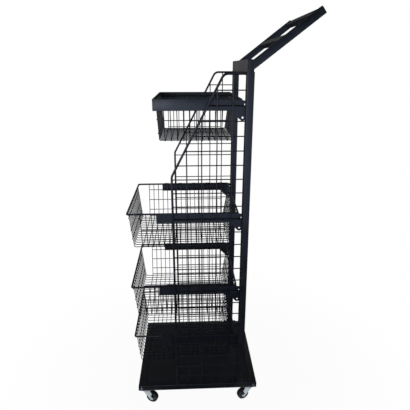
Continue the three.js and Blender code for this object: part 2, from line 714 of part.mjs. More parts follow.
// A bracket in its own plane: an arm with a sloping shoulder, a slanted edge down to a round foot
// with a hole, and two hooks. A notch in the back edge lies just under the upper hook.
function bracketPlate(size) {
  const end = UPRIGHT_FRONT - GAP;
  const foot = new THREE.Vector2(end - BRACKET_FOOT_INSET, -size.footDrop);
  const corner = new THREE.Vector2(end - size.gusset, size.bottom);
  const toFoot = foot.clone().sub(corner);
  const slant = toFoot.angle() - Math.asin(BRACKET_FOOT_RADIUS / toFoot.length());
  const footEnd = -Math.acos(BRACKET_FOOT_INSET / BRACKET_FOOT_RADIUS);
  const neck = size.hooksTop - HOOK_DROP - HOOK_HEIGHT / 2;
  const shape = new THREE.Shape();
  shape.moveTo(end - size.reach, size.top);
  shape.lineTo(end - size.reach, size.bottom);
  shape.lineTo(corner.x, corner.y);
  shape.absarc(foot.x, foot.y, BRACKET_FOOT_RADIUS, slant - Math.PI / 2, footEnd, false);
  shape.lineTo(end, neck - BRACKET_NOTCH_HEIGHT);
  shape.lineTo(end - BRACKET_NOTCH_DEPTH, neck - BRACKET_NOTCH_HEIGHT);
  shape.lineTo(end - BRACKET_NOTCH_DEPTH, neck);
  shape.lineTo(end, neck);
  shape.lineTo(end, size.top - BRACKET_SHOULDER_DROP);
  shape.lineTo(end - BRACKET_SHOULDER_RUN, size.top);
  shape.closePath();
  const plate = join([platePiece(shape, BRACKET_SHEET, 0), ...hooks(size.hooksTop)]);
  return plate.subtract(crossPin(BRACKET_HOLE, -OVERRUN, OVERRUN, foot.x, foot.y, HOLE_SEGMENTS));
}

// A basket's bracket: its arm runs along the rim rod.
function basketBracket() {
  return bracketPlate({
    reach: BRACKET_REACH,
    top: BRACKET_TOP,
    bottom: BRACKET_TOP - BRACKET_HEIGHT,
    gusset: BRACKET_GUSSET,
    footDrop: BRACKET_FOOT_DROP,
    hooksTop: 0,
  });
}

// The top bin's sheet band, with its upper edge at height 0.
function binBand() {
  const ring = ringShape(BIN_HALF_WIDTH, BIN_FRONT, BIN_BACK, BIN_CORNER_RADIUS, BIN_BAND_SHEET);
  return raised(ring, -BIN_BAND_HEIGHT, 0);
}

// The wire body of the bin: a rod round the inside of the band, with the mesh welded
// inside it.
function binMesh() {
  const rodReach = BIN_RIM_ROD / 2;
  const outset = BIN_ROD_OUTSET - rodReach;
  const ring = ringShape(
    BIN_HALF_WIDTH - outset, BIN_FRONT + outset, BIN_BACK - outset, BIN_RIM_CORNER_RADIUS, BIN_RIM_ROD,
  );
  const rod = raised(ring, -BIN_RIM_DROP - rodReach, -BIN_RIM_DROP + rodReach);
  const wireInset = BIN_ROD_OUTSET + rodReach + WIRE_REACH - WELD_DEPTH;
  const mesh = wireMesh({
    front: BIN_FRONT + wireInset,
    back: BIN_BACK - wireInset,
    top: rodReach - BIN_RIM_DROP,
    bottom: -BIN_BODY_DEPTH,
    frontTaper: BIN_FRONT_TAPER,
    backTaper: BIN_BACK_TAPER,
    bend: BIN_BEND_RADIUS,
    wallRow: -BIN_WALL_ROW,
    bottomRows: BIN_BOTTOM_ROWS,
    outerX: BIN_GRID_X - BIN_SIDE_TAPER - 2 * WIRE_REACH - GAP,
    wires: BIN_MESH_WIRES,
  });
  return rod.add(mesh);
}

function binGrid() {
  return sideGrid({
    start: BIN_FRONT + BIN_GRID_FROM_FRONT,
    end: BIN_BACK - BIN_GRID_FROM_BACK,
    wires: BIN_GRID_WIRES,
    top: BIN_RIM_ROD / 2 - BIN_RIM_DROP,
    foot: WIRE_REACH + GAP - BIN_BODY_DEPTH,
    taper: BIN_SIDE_TAPER,
    rows: [-BIN_GRID_ROW],
  });
}

// The bin's bracket: its arm lies against the back of the band.
function binBracket() {
  return bracketPlate({
    reach: BIN_BRACKET_REACH,
    top: -BIN_BRACKET_TOP,
    bottom: -BIN_BAND_HEIGHT,
    gusset: BIN_BRACKET_GUSSET,
    footDrop: BIN_BRACKET_FOOT_DROP,
    hooksTop: -BIN_BRACKET_TOP,
  });
}

// A point on a sign arm's centre line, at a distance from the leg's centre.
function armPoint(distance) {
  const y = UPRIGHT_Y + distance * Math.cos(SIGN_ANGLE);
  return vec(0, y, SIGN_ARM_START + distance * Math.sin(SIGN_ANGLE));
}

// One side of the sign frame: a leg that stands in the upright and a sloping arm.
function signSide() {
  const start = armPoint(0);
  const legBottom = UPRIGHT_TOP - SIGN_LEG_INSERT;
  const leg = block(
    vec(-INSERT_WIDTH / 2, UPRIGHT_Y - INSERT_DEPTH / 2, legBottom),
    vec(INSERT_WIDTH / 2, UPRIGHT_Y + INSERT_DEPTH / 2, SIGN_LEG_TOP),
  );
  const arm = slopedBar(SIGN_ARM_WIDTH, SIGN_ARM_DEPTH, start, SIGN_ANGLE, 0, SIGN_ARM_LENGTH);
  const boreX = INSERT_WIDTH / 2 - TUBE_WALL;
  const boreY = INSERT_DEPTH / 2 - TUBE_WALL;
  const legBore = block(
    vec(-boreX, UPRIGHT_Y - boreY, legBottom - OVERRUN),
    vec(boreX, UPRIGHT_Y + boreY, SIGN_LEG_TOP - TUBE_WALL),
  );
  const armBore = slopedBar(
    SIGN_ARM_WIDTH - 2 * TUBE_WALL, SIGN_ARM_DEPTH - 2 * TUBE_WALL, start, SIGN_ANGLE,
    INSERT_DEPTH / 2, SIGN_ARM_LENGTH + OVERRUN,
  );
  return cut(leg.add(arm), [legBore, armBore]);
}

// A cross bar of the sign frame, centred at a distance along the arms.
function signBar(distance) {
  const halfLength = UPRIGHT_X - SIGN_ARM_WIDTH / 2 - GAP;
  const centre = armPoint(distance);
  const half = SIGN_BAR_WIDTH / 2;
  const outer = slopedBar(2 * halfLength, SIGN_BAR_DEPTH, centre, SIGN_ANGLE, -half, half);
  const boreHalf = half - TUBE_WALL;
  const boreDepth = SIGN_BAR_DEPTH - 2 * TUBE_WALL;
  const bore = slopedBar(2 * (halfLength + OVERRUN), boreDepth, centre, SIGN_ANGLE, -boreHalf, boreHalf);
  return outer.subtract(bore);
}

// The lowest cross bar, between the legs.
function signLowBar() {
  const halfLength = UPRIGHT_X - INSERT_WIDTH / 2 - GAP;
  const low = UPRIGHT_Y - INSERT_DEPTH / 2;
  return crossTube(
    halfLength, low, low + INSERT_DEPTH, SIGN_LEG_TOP - SIGN_LOW_BAR_HEIGHT, SIGN_LEG_TOP, TUBE_WALL,
  );
}

// The plate across the front of both legs, just above the uprights.
function signPlate() {
  const half = UPRIGHT_X + INSERT_WIDTH / 2;
  const back = UPRIGHT_Y - INSERT_DEPTH / 2 - GAP;
  return block(
    vec(-half, back - SIGN_PLATE_SHEET, UPRIGHT_TOP + GAP),
    vec(half, back, SIGN_LEG_TOP),
  );
}

function addPiece(group, name, solid, finish, position = vec(0, 0, 0)) {
  const mesh = new THREE.Mesh(geometryOf(solid), new THREE.MeshStandardMaterial(finish));
  mesh.name = name;
  mesh.position.copy(position);
  group.add(mesh);
  return mesh;
}

const SIDES = [['left', -1], ['right', 1]];

function addBase(rack) {
  addPiece(rack, 'base_frame', baseFrame(), COATING);
  addPiece(rack, 'deck_panel', deckPanel(), COATING);
  addPiece(rack, 'deck_rail', deckRail(), COATING);
  for (const [end, along] of [['front', -1], ['back', 1]]) {
    for (const [sideName, side] of SIDES) {
      const place = vec(side * BASE_X, along * (BASE_Y - BOLT_FROM_END), BASE_TOP - BASE_TUBE / 2);
      const bolt = addPiece(rack, `base_bolt_${end}_${sideName}`, boltHead(), ZINC, place);
      bolt.rotation.z = side > 0 ? 0 : Math.PI;
    }
  }
}

function addCasters(rack) {
  for (const [end, along] of [['front', -1], ['back', 1]]) {
    for (const [sideName, side] of SIDES) {
      const corner = new THREE.Group();
      corner.position.set(side * (BASE_X - CASTER_INSET), along * (BASE_Y - CASTER_INSET), 0);
      rack.add(corner);
      const name = `caster_${end}_${sideName}`;
      addPiece(corner, `${name}_plate`, casterPlate(), ZINC);
      const swivel = new THREE.Group();
      swivel.rotation.z = (along < 0 ? 0 : Math.PI) + along * CASTER_TURN;
      corner.add(swivel);
      const axleAt = vec(0, CASTER_TRAIL, WHEEL_DIAMETER / 2);
      addPiece(swivel, `${name}_fork`, casterFork(), ZINC);
      addPiece(swivel, `${name}_axle`, casterAxle(), ZINC, axleAt);
      addPiece(swivel, `${name}_wheel`, casterWheel(), RUBBER, axleAt);
    }
  }
}

function addFrame(rack) {
  addPiece(rack, 'top_rail', topRail(), COATING);
  for (const [sideName, side] of SIDES) {
    const place = vec(side * UPRIGHT_X, 0, 0);
    addPiece(rack, `upright_${sideName}`, upright(), COATING, place);
    addPiece(rack, `upright_foot_${sideName}`, uprightFoot(), COATING, place);
    addPiece(rack, `sign_side_${sideName}`, signSide(), COATING, place);
    addPiece(rack, `side_panel_${sideName}`, sidePanel(), COATING, vec(side * PANEL_X, 0, 0));
  }
  addPiece(rack, 'sign_low_bar', signLowBar(), COATING);
  addPiece(rack, 'sign_mid_bar', signBar(SIGN_MID_BAR), COATING);
  addPiece(rack, 'sign_top_bar', signBar(SIGN_ARM_LENGTH - SIGN_BAR_WIDTH / 2), COATING);
  addPiece(rack, 'sign_plate', signPlate(), COATING);
}

function addGrids(group, name, build, x) {
  for (const [sideName, side] of SIDES) {
    const solid = side > 0 ? build() : build().mirror([1, 0, 0]);
    addPiece(group, `${name}_${sideName}`, solid, COATING, vec(side * x, 0, 0));
  }
}

function addBaskets(rack) {
  for (const [level, slot] of Object.entries(BASKET_SLOT_NUMBERS)) {
    const basket = new THREE.Group();
    basket.position.z = slotHeight(slot) + HOOK_DROP;
    rack.add(basket);
    addPiece(basket, `basket_${level}_rim`, basketRim(), COATING);
    addPiece(basket, `basket_${level}_mesh`, basketMesh(), COATING);
    addGrids(basket, `basket_${level}_side`, basketGrid, BASKET_GRID_X);
    for (const [sideName, side] of SIDES) {
      const name = `basket_${level}_bracket_${sideName}`;
      addPiece(basket, name, basketBracket(), COATING, vec(side * UPRIGHT_X, 0, 0));
    }
  }
}

function addTopBin(rack) {
  const bin = new THREE.Group();
  bin.position.z = BIN_TOP;
  rack.add(bin);
  addPiece(bin, 'bin_band', binBand(), COATING);
  addPiece(bin, 'bin_mesh', binMesh(), COATING);
  addGrids(bin, 'bin_side', binGrid, BIN_GRID_X);
  for (const [sideName, side] of SIDES) {
    addPiece(bin, `bin_bracket_${sideName}`, binBracket(), COATING, vec(side * UPRIGHT_X, 0, 0));
  }
}

const rack = new THREE.Group();
addBase(rack);
addCasters(rack);
addFrame(rack);
addBaskets(rack);
addTopBin(rack);

// The origin is on the floor, midway between the baskets' front and the arms' back.
const frontReach = BASKET_FRONT - BASKET_RIM_ROD / 2;
const tip = armPoint(SIGN_ARM_LENGTH);
const backReach = tip.y + (SIGN_ARM_DEPTH / 2) * Math.sin(SIGN_ANGLE);
rack.position.y = -(frontReach + backReach) / 2;

const group = new THREE.Group();
group.add(rack);

export default group;
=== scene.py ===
"""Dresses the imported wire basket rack: round wire, formed sheet, swivel casters and a plain studio.

Sizes are in millimetres in the frame's own axes, and meshes are written in metres.
"""

import logging
import math
from dataclasses import dataclass
from enum import Enum

import bmesh
import bpy
import numpy as np
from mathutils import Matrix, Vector
from mathutils.geometry import tessellate_polygon


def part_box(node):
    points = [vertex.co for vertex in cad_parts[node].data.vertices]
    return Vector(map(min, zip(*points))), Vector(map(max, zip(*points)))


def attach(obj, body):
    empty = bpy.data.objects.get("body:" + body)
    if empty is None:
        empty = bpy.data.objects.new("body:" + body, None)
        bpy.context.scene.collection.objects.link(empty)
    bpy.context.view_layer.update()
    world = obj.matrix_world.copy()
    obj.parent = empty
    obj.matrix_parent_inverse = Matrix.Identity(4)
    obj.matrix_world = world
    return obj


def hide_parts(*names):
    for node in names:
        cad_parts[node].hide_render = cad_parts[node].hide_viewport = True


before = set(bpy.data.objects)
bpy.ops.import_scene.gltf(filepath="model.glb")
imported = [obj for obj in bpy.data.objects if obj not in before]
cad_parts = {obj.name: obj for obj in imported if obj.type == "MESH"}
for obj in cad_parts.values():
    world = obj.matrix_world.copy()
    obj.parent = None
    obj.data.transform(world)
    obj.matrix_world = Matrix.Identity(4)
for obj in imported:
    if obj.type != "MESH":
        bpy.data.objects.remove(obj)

MM = 0.001
# Edges that turn by more degrees than this stay sharp.
SHARP = 40.0
# The body that everything but the casters' turning pieces rides on.
RACK = "rack"
UP = np.array([0.0, 0.0, 1.0])
RIGHT = np.array([1.0, 0.0, 0.0])
BACK = np.array([0.0, 1.0, 0.0])

log = logging.getLogger("rack")


class Slot(Enum):
    """The record's material slots."""

    FRAME = "frame_coat"
    SHEET = "sheet_coat"
    WIRE = "wire_coat"
    ZINC = "zinc_plate"
    RUBBER = "wheel_rubber"


class Level(Enum):
    """The three baskets, by height."""

    UPPER = "upper"
    MIDDLE = "middle"
    LOWER = "lower"


class Side(Enum):
    """The rack's two sides. The value is the sign of x."""

    LEFT = -1
    RIGHT = 1

    @property
    def word(self) -> str:
        """The side's name in lower case."""
        return self.name.lower()


# ---------------------------------------------------------------- points and faces


def point(x: float, y: float, z: float) -> np.ndarray:
    """A point or a direction as an array."""
    return np.array([x, y, z], float)


def unit(vectors: np.ndarray) -> np.ndarray:
    """Each row divided by its own length."""
    return vectors / np.linalg.norm(vectors, axis=-1, keepdims=True)


def box_of(node: str) -> tuple[np.ndarray, np.ndarray]:
    """A CAD node's lowest and highest corners in millimetres."""
    low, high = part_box(node)
    return np.array(low) / MM, np.array(high) / MM


def fillet(corners: np.ndarray, radius: float, steps: int, closed: bool = False) -> np.ndarray:
    """Replaces the corners of a polyline by arcs.

    The arc's centre lies on the corner's bisector, at radius over the sine of half the angle.
    A point on it is the centre plus the start and end spokes weighed by sin((1 - t) s) and
    sin(t s), over sin(s), where s is the angle between the spokes.

    Args:
        corners: the polyline, one row for each corner.
        radius: the bend's radius along the line.
        steps: stretches in each arc.
        closed: whether the last corner joins the first.

    Returns:
        The points along the line.
    """
    before = np.roll(corners, 1, axis=0)
    after = np.roll(corners, -1, axis=0)
    to_last, to_next = unit(before - corners), unit(after - corners)
    if not closed:
        to_last[0], to_next[-1] = -to_next[0], -to_last[-1]
    half = np.arccos(np.clip((to_last * to_next).sum(1), -1, 1)) / 2
    inner = slice(None) if closed else slice(1, -1)
    a, b, h, c = to_last[inner], to_next[inner], half[inner, None], corners[inner]
    centre = c + unit(a + b) * radius / np.sin(h)
    start = c + a * radius / np.tan(h) - centre
    end = c + b * radius / np.tan(h) - centre
    turn = np.pi - 2 * h
    t = np.linspace(0, 1, steps + 1)[None, :, None]
    near = np.sin((1 - t) * turn[:, None]) / np.sin(turn)[:, None]
    far = np.sin(t * turn[:, None]) / np.sin(turn)[:, None]
    arcs = (centre[:, None] + near * start[:, None] + far * end[:, None]).reshape(-1, 3)
    return arcs if closed else np.vstack([corners[:1], arcs, corners[-1:]])


def circle(radius: float, sides: int) -> np.ndarray:
    """A round section: radius times (cos, sin) of evenly spaced angles."""
    angle = 2 * np.pi * (np.arange(sides) + 0.5) / sides
    return radius * np.column_stack([np.cos(angle), np.sin(angle)])


def rounded_rectangle(width: float, depth: float, radius: float, steps: int) -> np.ndarray:
    """A rectangle with round corners, anticlockwise from the start of its first corner's arc.

    Each corner's arc is its centre plus radius times (cos, sin) over a quarter turn.

    Args:
        width: its size along the first axis.
        depth: its size along the second axis.
        radius: the corners' radius.
        steps: stretches in each corner.

    Returns:
        The section's points.
    """
    angle = np.linspace(0, np.pi / 2, steps + 1)[None, :] + np.pi / 2 * np.arange(4)[:, None]
    sign = np.array([[1, 1], [-1, 1], [-1, -1], [1, -1]])
    centre = sign * [width / 2 - radius, depth / 2 - radius]
    arc = radius * np.stack([np.cos(angle), np.sin(angle)], axis=2)
    return (centre[:, None] + arc).reshape(-1, 2)


Form = tuple[np.ndarray, list[np.ndarray]]


class Shell:
    """Gathers points and faces, in millimetres, into one mesh."""

    def __init__(self) -> None:
        """Starts with nothing in it."""
        self.points: list[np.ndarray] = []
        self.faces: list[tuple[np.ndarray, int]] = []
        self.count = 0

    def add(self, points: np.ndarray, faces: list[np.ndarray], finish: int = 0) -> None:
        """Adds one form.

        Args:
            points: its points, one a row.
            faces: arrays of faces, one face a row, each array with its own number of corners.
            finish: the index of its material.
        """
        self.faces += [(block + self.count, finish) for block in faces if len(block)]
        self.points.append(points)
        self.count += len(points)

    def repeat(self, form: Form, offsets: np.ndarray, finish: int = 0) -> None:
        """Adds a form once for each offset, all as one set of arrays.

        Args:
            form: the form's points and faces.
            offsets: how far each copy is moved, one a row.
            finish: the index of its material.
        """
        points, faces = form
        number = len(offsets)
        spread = (points[None] + offsets[:, None]).reshape(-1, 3)
        step = (np.arange(number) * len(points))[:, None, None]
        self.add(spread, [(block[None] + step).reshape(-1, block.shape[1]) for block in faces], finish)

    def mesh(self, name: str, smooth_below: float = SHARP) -> bpy.types.Object:
        """Writes the mesh and returns its object.

        Args:
            name: the piece's name.
            smooth_below: edges that turn by less than this many degrees are shaded smooth.

        Returns:
            The object, linked to the scene.
        """
        data = bpy.data.meshes.new(name)
        points = np.vstack(self.points) * MM
        data.vertices.add(len(points))
        data.vertices.foreach_set("co", points.ravel())
        corners = np.concatenate([block.ravel() for block, _ in self.faces])
        totals = np.concatenate([np.full(len(block), block.shape[1]) for block, _ in self.faces])
        finishes = np.concatenate([np.full(len(block), finish) for block, finish in self.faces])
        data.loops.add(len(corners))
        data.loops.foreach_set("vertex_index", corners)
        data.polygons.add(len(totals))
        data.polygons.foreach_set("loop_start", np.concatenate([[0], np.cumsum(totals)[:-1]]))
        data.polygons.foreach_set("loop_total", totals)
        data.polygons.foreach_set("material_index", finishes)
        data.polygons.foreach_set("use_smooth", np.ones(len(totals), bool))
        data.update(calc_edges=True)
        data.validate()
        data.set_sharp_from_angle(angle=math.radians(smooth_below))
        made = bpy.data.objects.new(name, data)
        bpy.context.scene.collection.objects.link(made)
        return made


def bridge(rings: int, sides: int, closed: bool) -> np.ndarray:
    """Four-cornered faces between neighbouring rings of a swept grid.

    Args:
        rings: how many rings there are.
        sides: points in each ring.
        closed: whether the last ring joins the first.

    Returns:
        The faces, one a row.
    """
    ring = np.arange(rings if closed else rings - 1)[:, None]
    side = np.arange(sides)[None, :]
    here, there = ring * sides, (ring + 1) % rings * sides
    following = (side + 1) % sides
    return np.stack([here + side, here + following, there + following, there + side], axis=2).reshape(-1, 4)


def sweep(path: np.ndarray, across: np.ndarray, section: np.ndarray, scales: np.ndarray | None = None,
          closed: bool = False) -> Form:
    """Carries a section along a line that lies in a plane.

    A point is path + scale (u across + v side / cos(half turn)), where side is the tangent
    crossed with across, and (u, v) is the section's point.

    Args:
        path: the line's points.
        across: the direction at right angles to the line's plane.
        section: the section's (u, v) points, anticlockwise.
        scales: a size for the section at each point, or None for 1.
        closed: whether the line closes on itself.

    Returns:
        The points and the faces, with a face over each end of an open line.
    """
    ahead = np.roll(path, -1, axis=0) - path
    behind = path - np.roll(path, 1, axis=0)
    if not closed:
        ahead[-1], behind[0] = behind[-1], ahead[0]
    ahead, behind = unit(ahead), unit(behind)
    tangent = unit(ahead + behind)
    stretch = 1 / (tangent * ahead).sum(1)
    side = np.cross(tangent, across) * stretch[:, None]
    size = np.ones(len(path)) if scales is None else scales
    u, v = section[None, :, :1], section[None, :, 1:]
    points = path[:, None] + size[:, None, None] * (u * across + v * side[:, None])
    rings, sides = len(path), len(section)
    faces = [bridge(rings, sides, closed)]
    if not closed:
        faces += [np.arange(sides)[None, ::-1], np.arange(sides)[None] + (rings - 1) * sides]
    return points.reshape(-1, 3), faces


def bar(path: np.ndarray, across: np.ndarray, radius: float, sides: int, chamfer: float = 0.4) -> Form:
    """A round bar along an open line, with a small chamfer at each cut end.

    Args:
        path: the line's points.
        across: the direction at right angles to the line's plane.
        radius: the bar's radius.
        sides: points round it.
        chamfer: the size of the chamfer.

    Returns:
        The bar.
    """
    first, last = unit(path[1] - path[0]), unit(path[-1] - path[-2])
    longer = np.vstack([path[:1], path[:1] + first * chamfer, path[1:-1], path[-1:] - last * chamfer, path[-1:]])
    scales = np.ones(len(longer))
    scales[[0, -1]] = 1 - chamfer / radius
    return sweep(longer, across, circle(radius, sides), scales)


def straight(start: np.ndarray, end: np.ndarray, across: np.ndarray, radius: float, sides: int) -> Form:
    """A straight round bar."""
    return bar(np.vstack([start, end]), across, radius, sides)


def bead(start: np.ndarray, end: np.ndarray, across: np.ndarray, radius: float, ripple: float = 1.6) -> Form:
    """A weld bead: a bar whose radius swells by a tenth with each ripple and tapers at its ends.

    The scale is min(1, distance to an end over the radius) ** 0.5 times 1 + 0.1 sin(2 pi s / ripple).

    Args:
        start: where the bead begins.
        end: where it ends.
        across: a direction at right angles to it.
        radius: its radius.
        ripple: the distance between two ripples.

    Returns:
        The bead.
    """
    swell, least, steps_each, sides = 0.1, 0.05, 4, 7
    length = float(np.linalg.norm(end - start))
    steps = max(6, int(length / ripple * steps_each))
    share = np.linspace(0, 1, steps + 1)
    reach = np.minimum(share, 1 - share) * length
    taper = np.sqrt(np.clip(reach / radius, least, 1))
    scales = taper * (1 + swell * np.sin(2 * np.pi * share * length / ripple))
    return sweep(start + share[:, None] * (end - start), across, circle(radius, sides), scales)


def nugget(reach: np.ndarray) -> Form:
    """A weld nugget: an ellipsoid of two rings and two closing points.

    A ring's point is (sqrt(1 - h^2) cos a, sqrt(1 - h^2) sin a, h) times the reach.

    Args:
        reach: its half sizes along the three axes.

    Returns:
        The nugget.
    """
    sides = 6
    height = np.array([-0.5, 0.5])[:, None]
    angle = 2 * np.pi * np.arange(sides) / sides
    ring = np.sqrt(1 - height ** 2)
    rings = np.stack([ring * np.cos(angle), ring * np.sin(angle), height + 0 * angle], axis=2).reshape(-1, 3)
    points = np.vstack([rings, [[0, 0, -1], [0, 0, 1]]]) * reach
    side = np.arange(sides)
    following = (side + 1) % sides
    low = np.column_stack([following, side, np.full(sides, 2 * sides)])
    high = np.column_stack([side + sides, following + sides, np.full(sides, 2 * sides + 1)])
    return points, [bridge(2, sides, False), low, high]


def lathe(profile: np.ndarray, segments: int) -> Form:
    """Turns a profile of (radius, height) points about the upright axis.

    A point is (r cos a, r sin a, h).

    Args:
        profile: the (radius, height) points, upwards on the outside, or closed on themselves.
        segments: points round the axis.

    Returns:
        The turned form, with a face over each end of an open profile.
    """
    angle = 2 * np.pi * np.arange(segments) / segments
    r, h = profile[:, :1], profile[:, 1:]
    points = np.stack([r * np.cos(angle), r * np.sin(angle), h + 0 * angle], axis=2).reshape(-1, 3)
    closed = bool(np.allclose(profile[0], profile[-1]))
    if closed:
        rings = len(profile) - 1
        return points[:rings * segments], [bridge(rings, segments, True)]
    rings = len(profile)
    faces = [bridge(rings, segments, False), np.arange(segments)[None, ::-1]]
    return points, faces + [np.arange(segments)[None] + (rings - 1) * segments]


def hex_head(corners: float, height: float, sides: int = 36) -> Form:
    """A hexagon head with its washer face down and a cone cut over its corners.

    The outline's radius is the apothem over cos of the angle from the nearest flat's middle. The
    cone drops its top edge by tan 30 times its distance outside the crown, 0.95 of the apothem.

    Args:
        corners: its size over two opposite corners.
        height: its height.
        sides: points round it, a multiple of six.

    Returns:
        The head, standing on z = 0.
    """
    crown_share = 0.95
    apothem = corners / 2 * math.cos(math.pi / 6)
    angle = 2 * np.pi * np.arange(sides) / sides
    edge = apothem / np.cos(angle % (np.pi / 3) - np.pi / 6)
    crown = np.full(sides, crown_share * apothem)
    drop = (edge - crown) * math.tan(math.pi / 6)
    ring = np.stack([edge, edge, crown])
    level = np.stack([np.zeros(sides), height - drop, np.full(sides, height)])
    points = np.stack([ring * np.cos(angle), ring * np.sin(angle), level], axis=2).reshape(-1, 3)
    return points, [bridge(3, sides, False), np.arange(sides)[None, ::-1], np.arange(sides)[None] + 2 * sides]


def turned(form: Form, x_axis: np.ndarray, y_axis: np.ndarray, place: np.ndarray) -> Form:
    """A form moved so that its x and y axes lie along two directions, and its origin at a place."""
    points, faces = form
    return points @ np.stack([x_axis, y_axis, np.cross(x_axis, y_axis)]) + place, faces


def plate(loops: list[np.ndarray], thickness: float) -> Form:
    """A flat sheet in the XY plane, from z = 0 to its thickness, with holes.

    Args:
        loops: the outline's (x, y) points and then each hole's, in either direction.
        thickness: the sheet's thickness.

    Returns:
        Both faces in triangles, and a wall of four-cornered faces round each loop.
    """
    def area(loop: np.ndarray) -> float:
        """The loop's area, with its sign."""
        after = np.roll(loop, -1, axis=0)
        return float((loop[:, 0] * after[:, 1] - loop[:, 1] * after[:, 0]).sum() / 2)

    wanted = [1] + [-1] * (len(loops) - 1)
    loops = [loop if area(loop) * sign > 0 else loop[::-1] for loop, sign in zip(loops, wanted)]
    flat = np.vstack(loops)
    triangles = np.array(tessellate_polygon([[Vector((x, y, 0)) for x, y in loop] for loop in loops]))
    a, b, c = (flat[triangles[:, k]] for k in range(3))
    sense = (b[:, 0] - a[:, 0]) * (c[:, 1] - a[:, 1]) - (b[:, 1] - a[:, 1]) * (c[:, 0] - a[:, 0])
    triangles = np.where(sense[:, None] > 0, triangles, triangles[:, ::-1])
    number = len(flat)
    low, high = np.zeros(number), np.full(number, thickness)
    points = np.vstack([np.column_stack([flat, low]), np.column_stack([flat, high])])
    faces = [triangles[:, ::-1], triangles + number]
    start = 0
    for loop in loops:
        here = np.arange(len(loop))
        following = (here + 1) % len(loop)
        faces.append(np.column_stack([here, following, following + number, here + number]) + start)
        start += len(loop)
    return points, faces


def standing(loops: list[np.ndarray], thickness: float, x: float) -> Form:
    """A sheet in the YZ plane, drawn as (y, z) loops and centred on x."""
    return turned(plate(loops, thickness), BACK, UP, point(x - thickness / 2, 0, 0))


def hollow(path: np.ndarray, across: np.ndarray, outer: np.ndarray, inner: np.ndarray) -> Form:
    """An open-ended tube: an outer and an inner skin, joined at the ends.

    Args:
        path: the line's points.
        across: the direction at right angles to the line's plane.
        outer: the outer section.
        inner: the inner section, with as many points.

    Returns:
        The tube.
    """
    outside, skin = sweep(path, across, outer)
    inside, _ = sweep(path, across, inner)
    number, sides = len(outside), len(outer)
    side = np.arange(sides)
    following = (side + 1) % sides
    last = number - sides
    start = np.column_stack([following, side, side + number, following + number])
    end = np.column_stack([side, following, following + number, side + number]) + last
    return np.vstack([outside, inside]), [skin[0], skin[0][:, ::-1] + number, start, end]


def box_tube(start: np.ndarray, end: np.ndarray, across: np.ndarray, size: tuple[float, float], wall: float,
             radius: float) -> Form:
    """A rectangular tube with round edges.

    Args:
        start: the centre of its first end.
        end: the centre of its other end.
        across: the direction that the first size lies along.
        size: its two outer sizes.
        wall: its wall.
        radius: the radius of its outer edges.

    Returns:
        The open tube.
    """
    steps, least_radius = 4, 0.3
    outer = rounded_rectangle(size[0], size[1], radius, steps)
    inner = rounded_rectangle(size[0] - 2 * wall, size[1] - 2 * wall, max(radius - wall, least_radius), steps)
    return hollow(np.vstack([start, end]), across, outer, inner)


def level_tube(source: str, wall: float, radius: float) -> Form:
    """A level tube from side to side that fills a CAD node's box.

    Args:
        source: the node.
        wall: the tube's wall.
        radius: the radius of its outer edges.

    Returns:
        The open tube.
    """
    low, high = box_of(source)
    middle, size = (low + high) / 2, high - low
    left, right = point(low[0], middle[1], middle[2]), point(high[0], middle[1], middle[2])
    return box_tube(left, right, BACK, (size[1], size[2]), wall, radius)


def around(centre: np.ndarray, radius: float, sides: int = 20) -> np.ndarray:
    """A circle's (x, y) points about a centre."""
    return circle(radius, sides) + centre


def outline(corners: list[tuple[float, float, float]], steps: int = 8) -> np.ndarray:
    """A flat outline whose corners each have a radius of their own.

    Args:
        corners: (x, y, radius) for each corner. A radius of 0 keeps it sharp.
        steps: stretches in each round corner.

    Returns:
        The outline's (x, y) points.
    """
    places = np.array([[x, y, 0.0] for x, y, _ in corners])
    parts = []
    for index, (_, _, radius) in enumerate(corners):
        if radius <= 0:
            parts.append(places[index:index + 1])
            continue
        near = np.vstack([places[index - 1], places[index], places[(index + 1) % len(places)]])
        parts.append(fillet(near, radius, steps)[1:-1])
    return np.vstack(parts)[:, :2]


# ---------------------------------------------------------------- finishes


def linear(code: str) -> tuple[float, float, float, float]:
    """An sRGB hex colour as linear light.

    Args:
        code: the colour, such as #c6ced1.

    Returns:
        Red, green, blue and an alpha of 1.
    """
    values = np.array([int(code[k:k + 2], 16) / 255 for k in (1, 3, 5)])
    rgb = np.where(values <= 0.04045, values / 12.92, ((values + 0.055) / 1.055) ** 2.4)
    return (*rgb.tolist(), 1.0)


def node(tree: bpy.types.NodeTree, kind: str, links: dict[str, bpy.types.NodeSocket] | None = None,
         **settings: object) -> bpy.types.Node:
    """Adds a shader node.

    Args:
        tree: the material's node tree.
        kind: the node's type.
        links: sockets to feed into its named inputs.
        settings: its properties, or its inputs where the name starts with in_. There a space is
            written _, and a number is the input's place.

    Returns:
        The node.
    """
    made = tree.nodes.new(kind)
    for key, value in settings.items():
        if key.startswith("in_"):
            place = key[3:].replace("_", " ")
            made.inputs[int(place) if place.isdigit() else place].default_value = value
        else:
            setattr(made, key, value)
    for key, socket in (links or {}).items():
        tree.links.new(socket, made.inputs[int(key) if key.isdigit() else key])
    return made


def blank(name: str, kind: str = "Principled BSDF") -> tuple[bpy.types.Material, bpy.types.NodeTree,
                                                             bpy.types.Node]:
    """Starts a node material.

    Args:
        name: the material's name.
        kind: the node that is wanted from those of a new material.

    Returns:
        The material, its node tree and that node.
    """
    made = bpy.data.materials.new(name)
    made.use_nodes = True
    return made, made.node_tree, made.node_tree.nodes[kind]


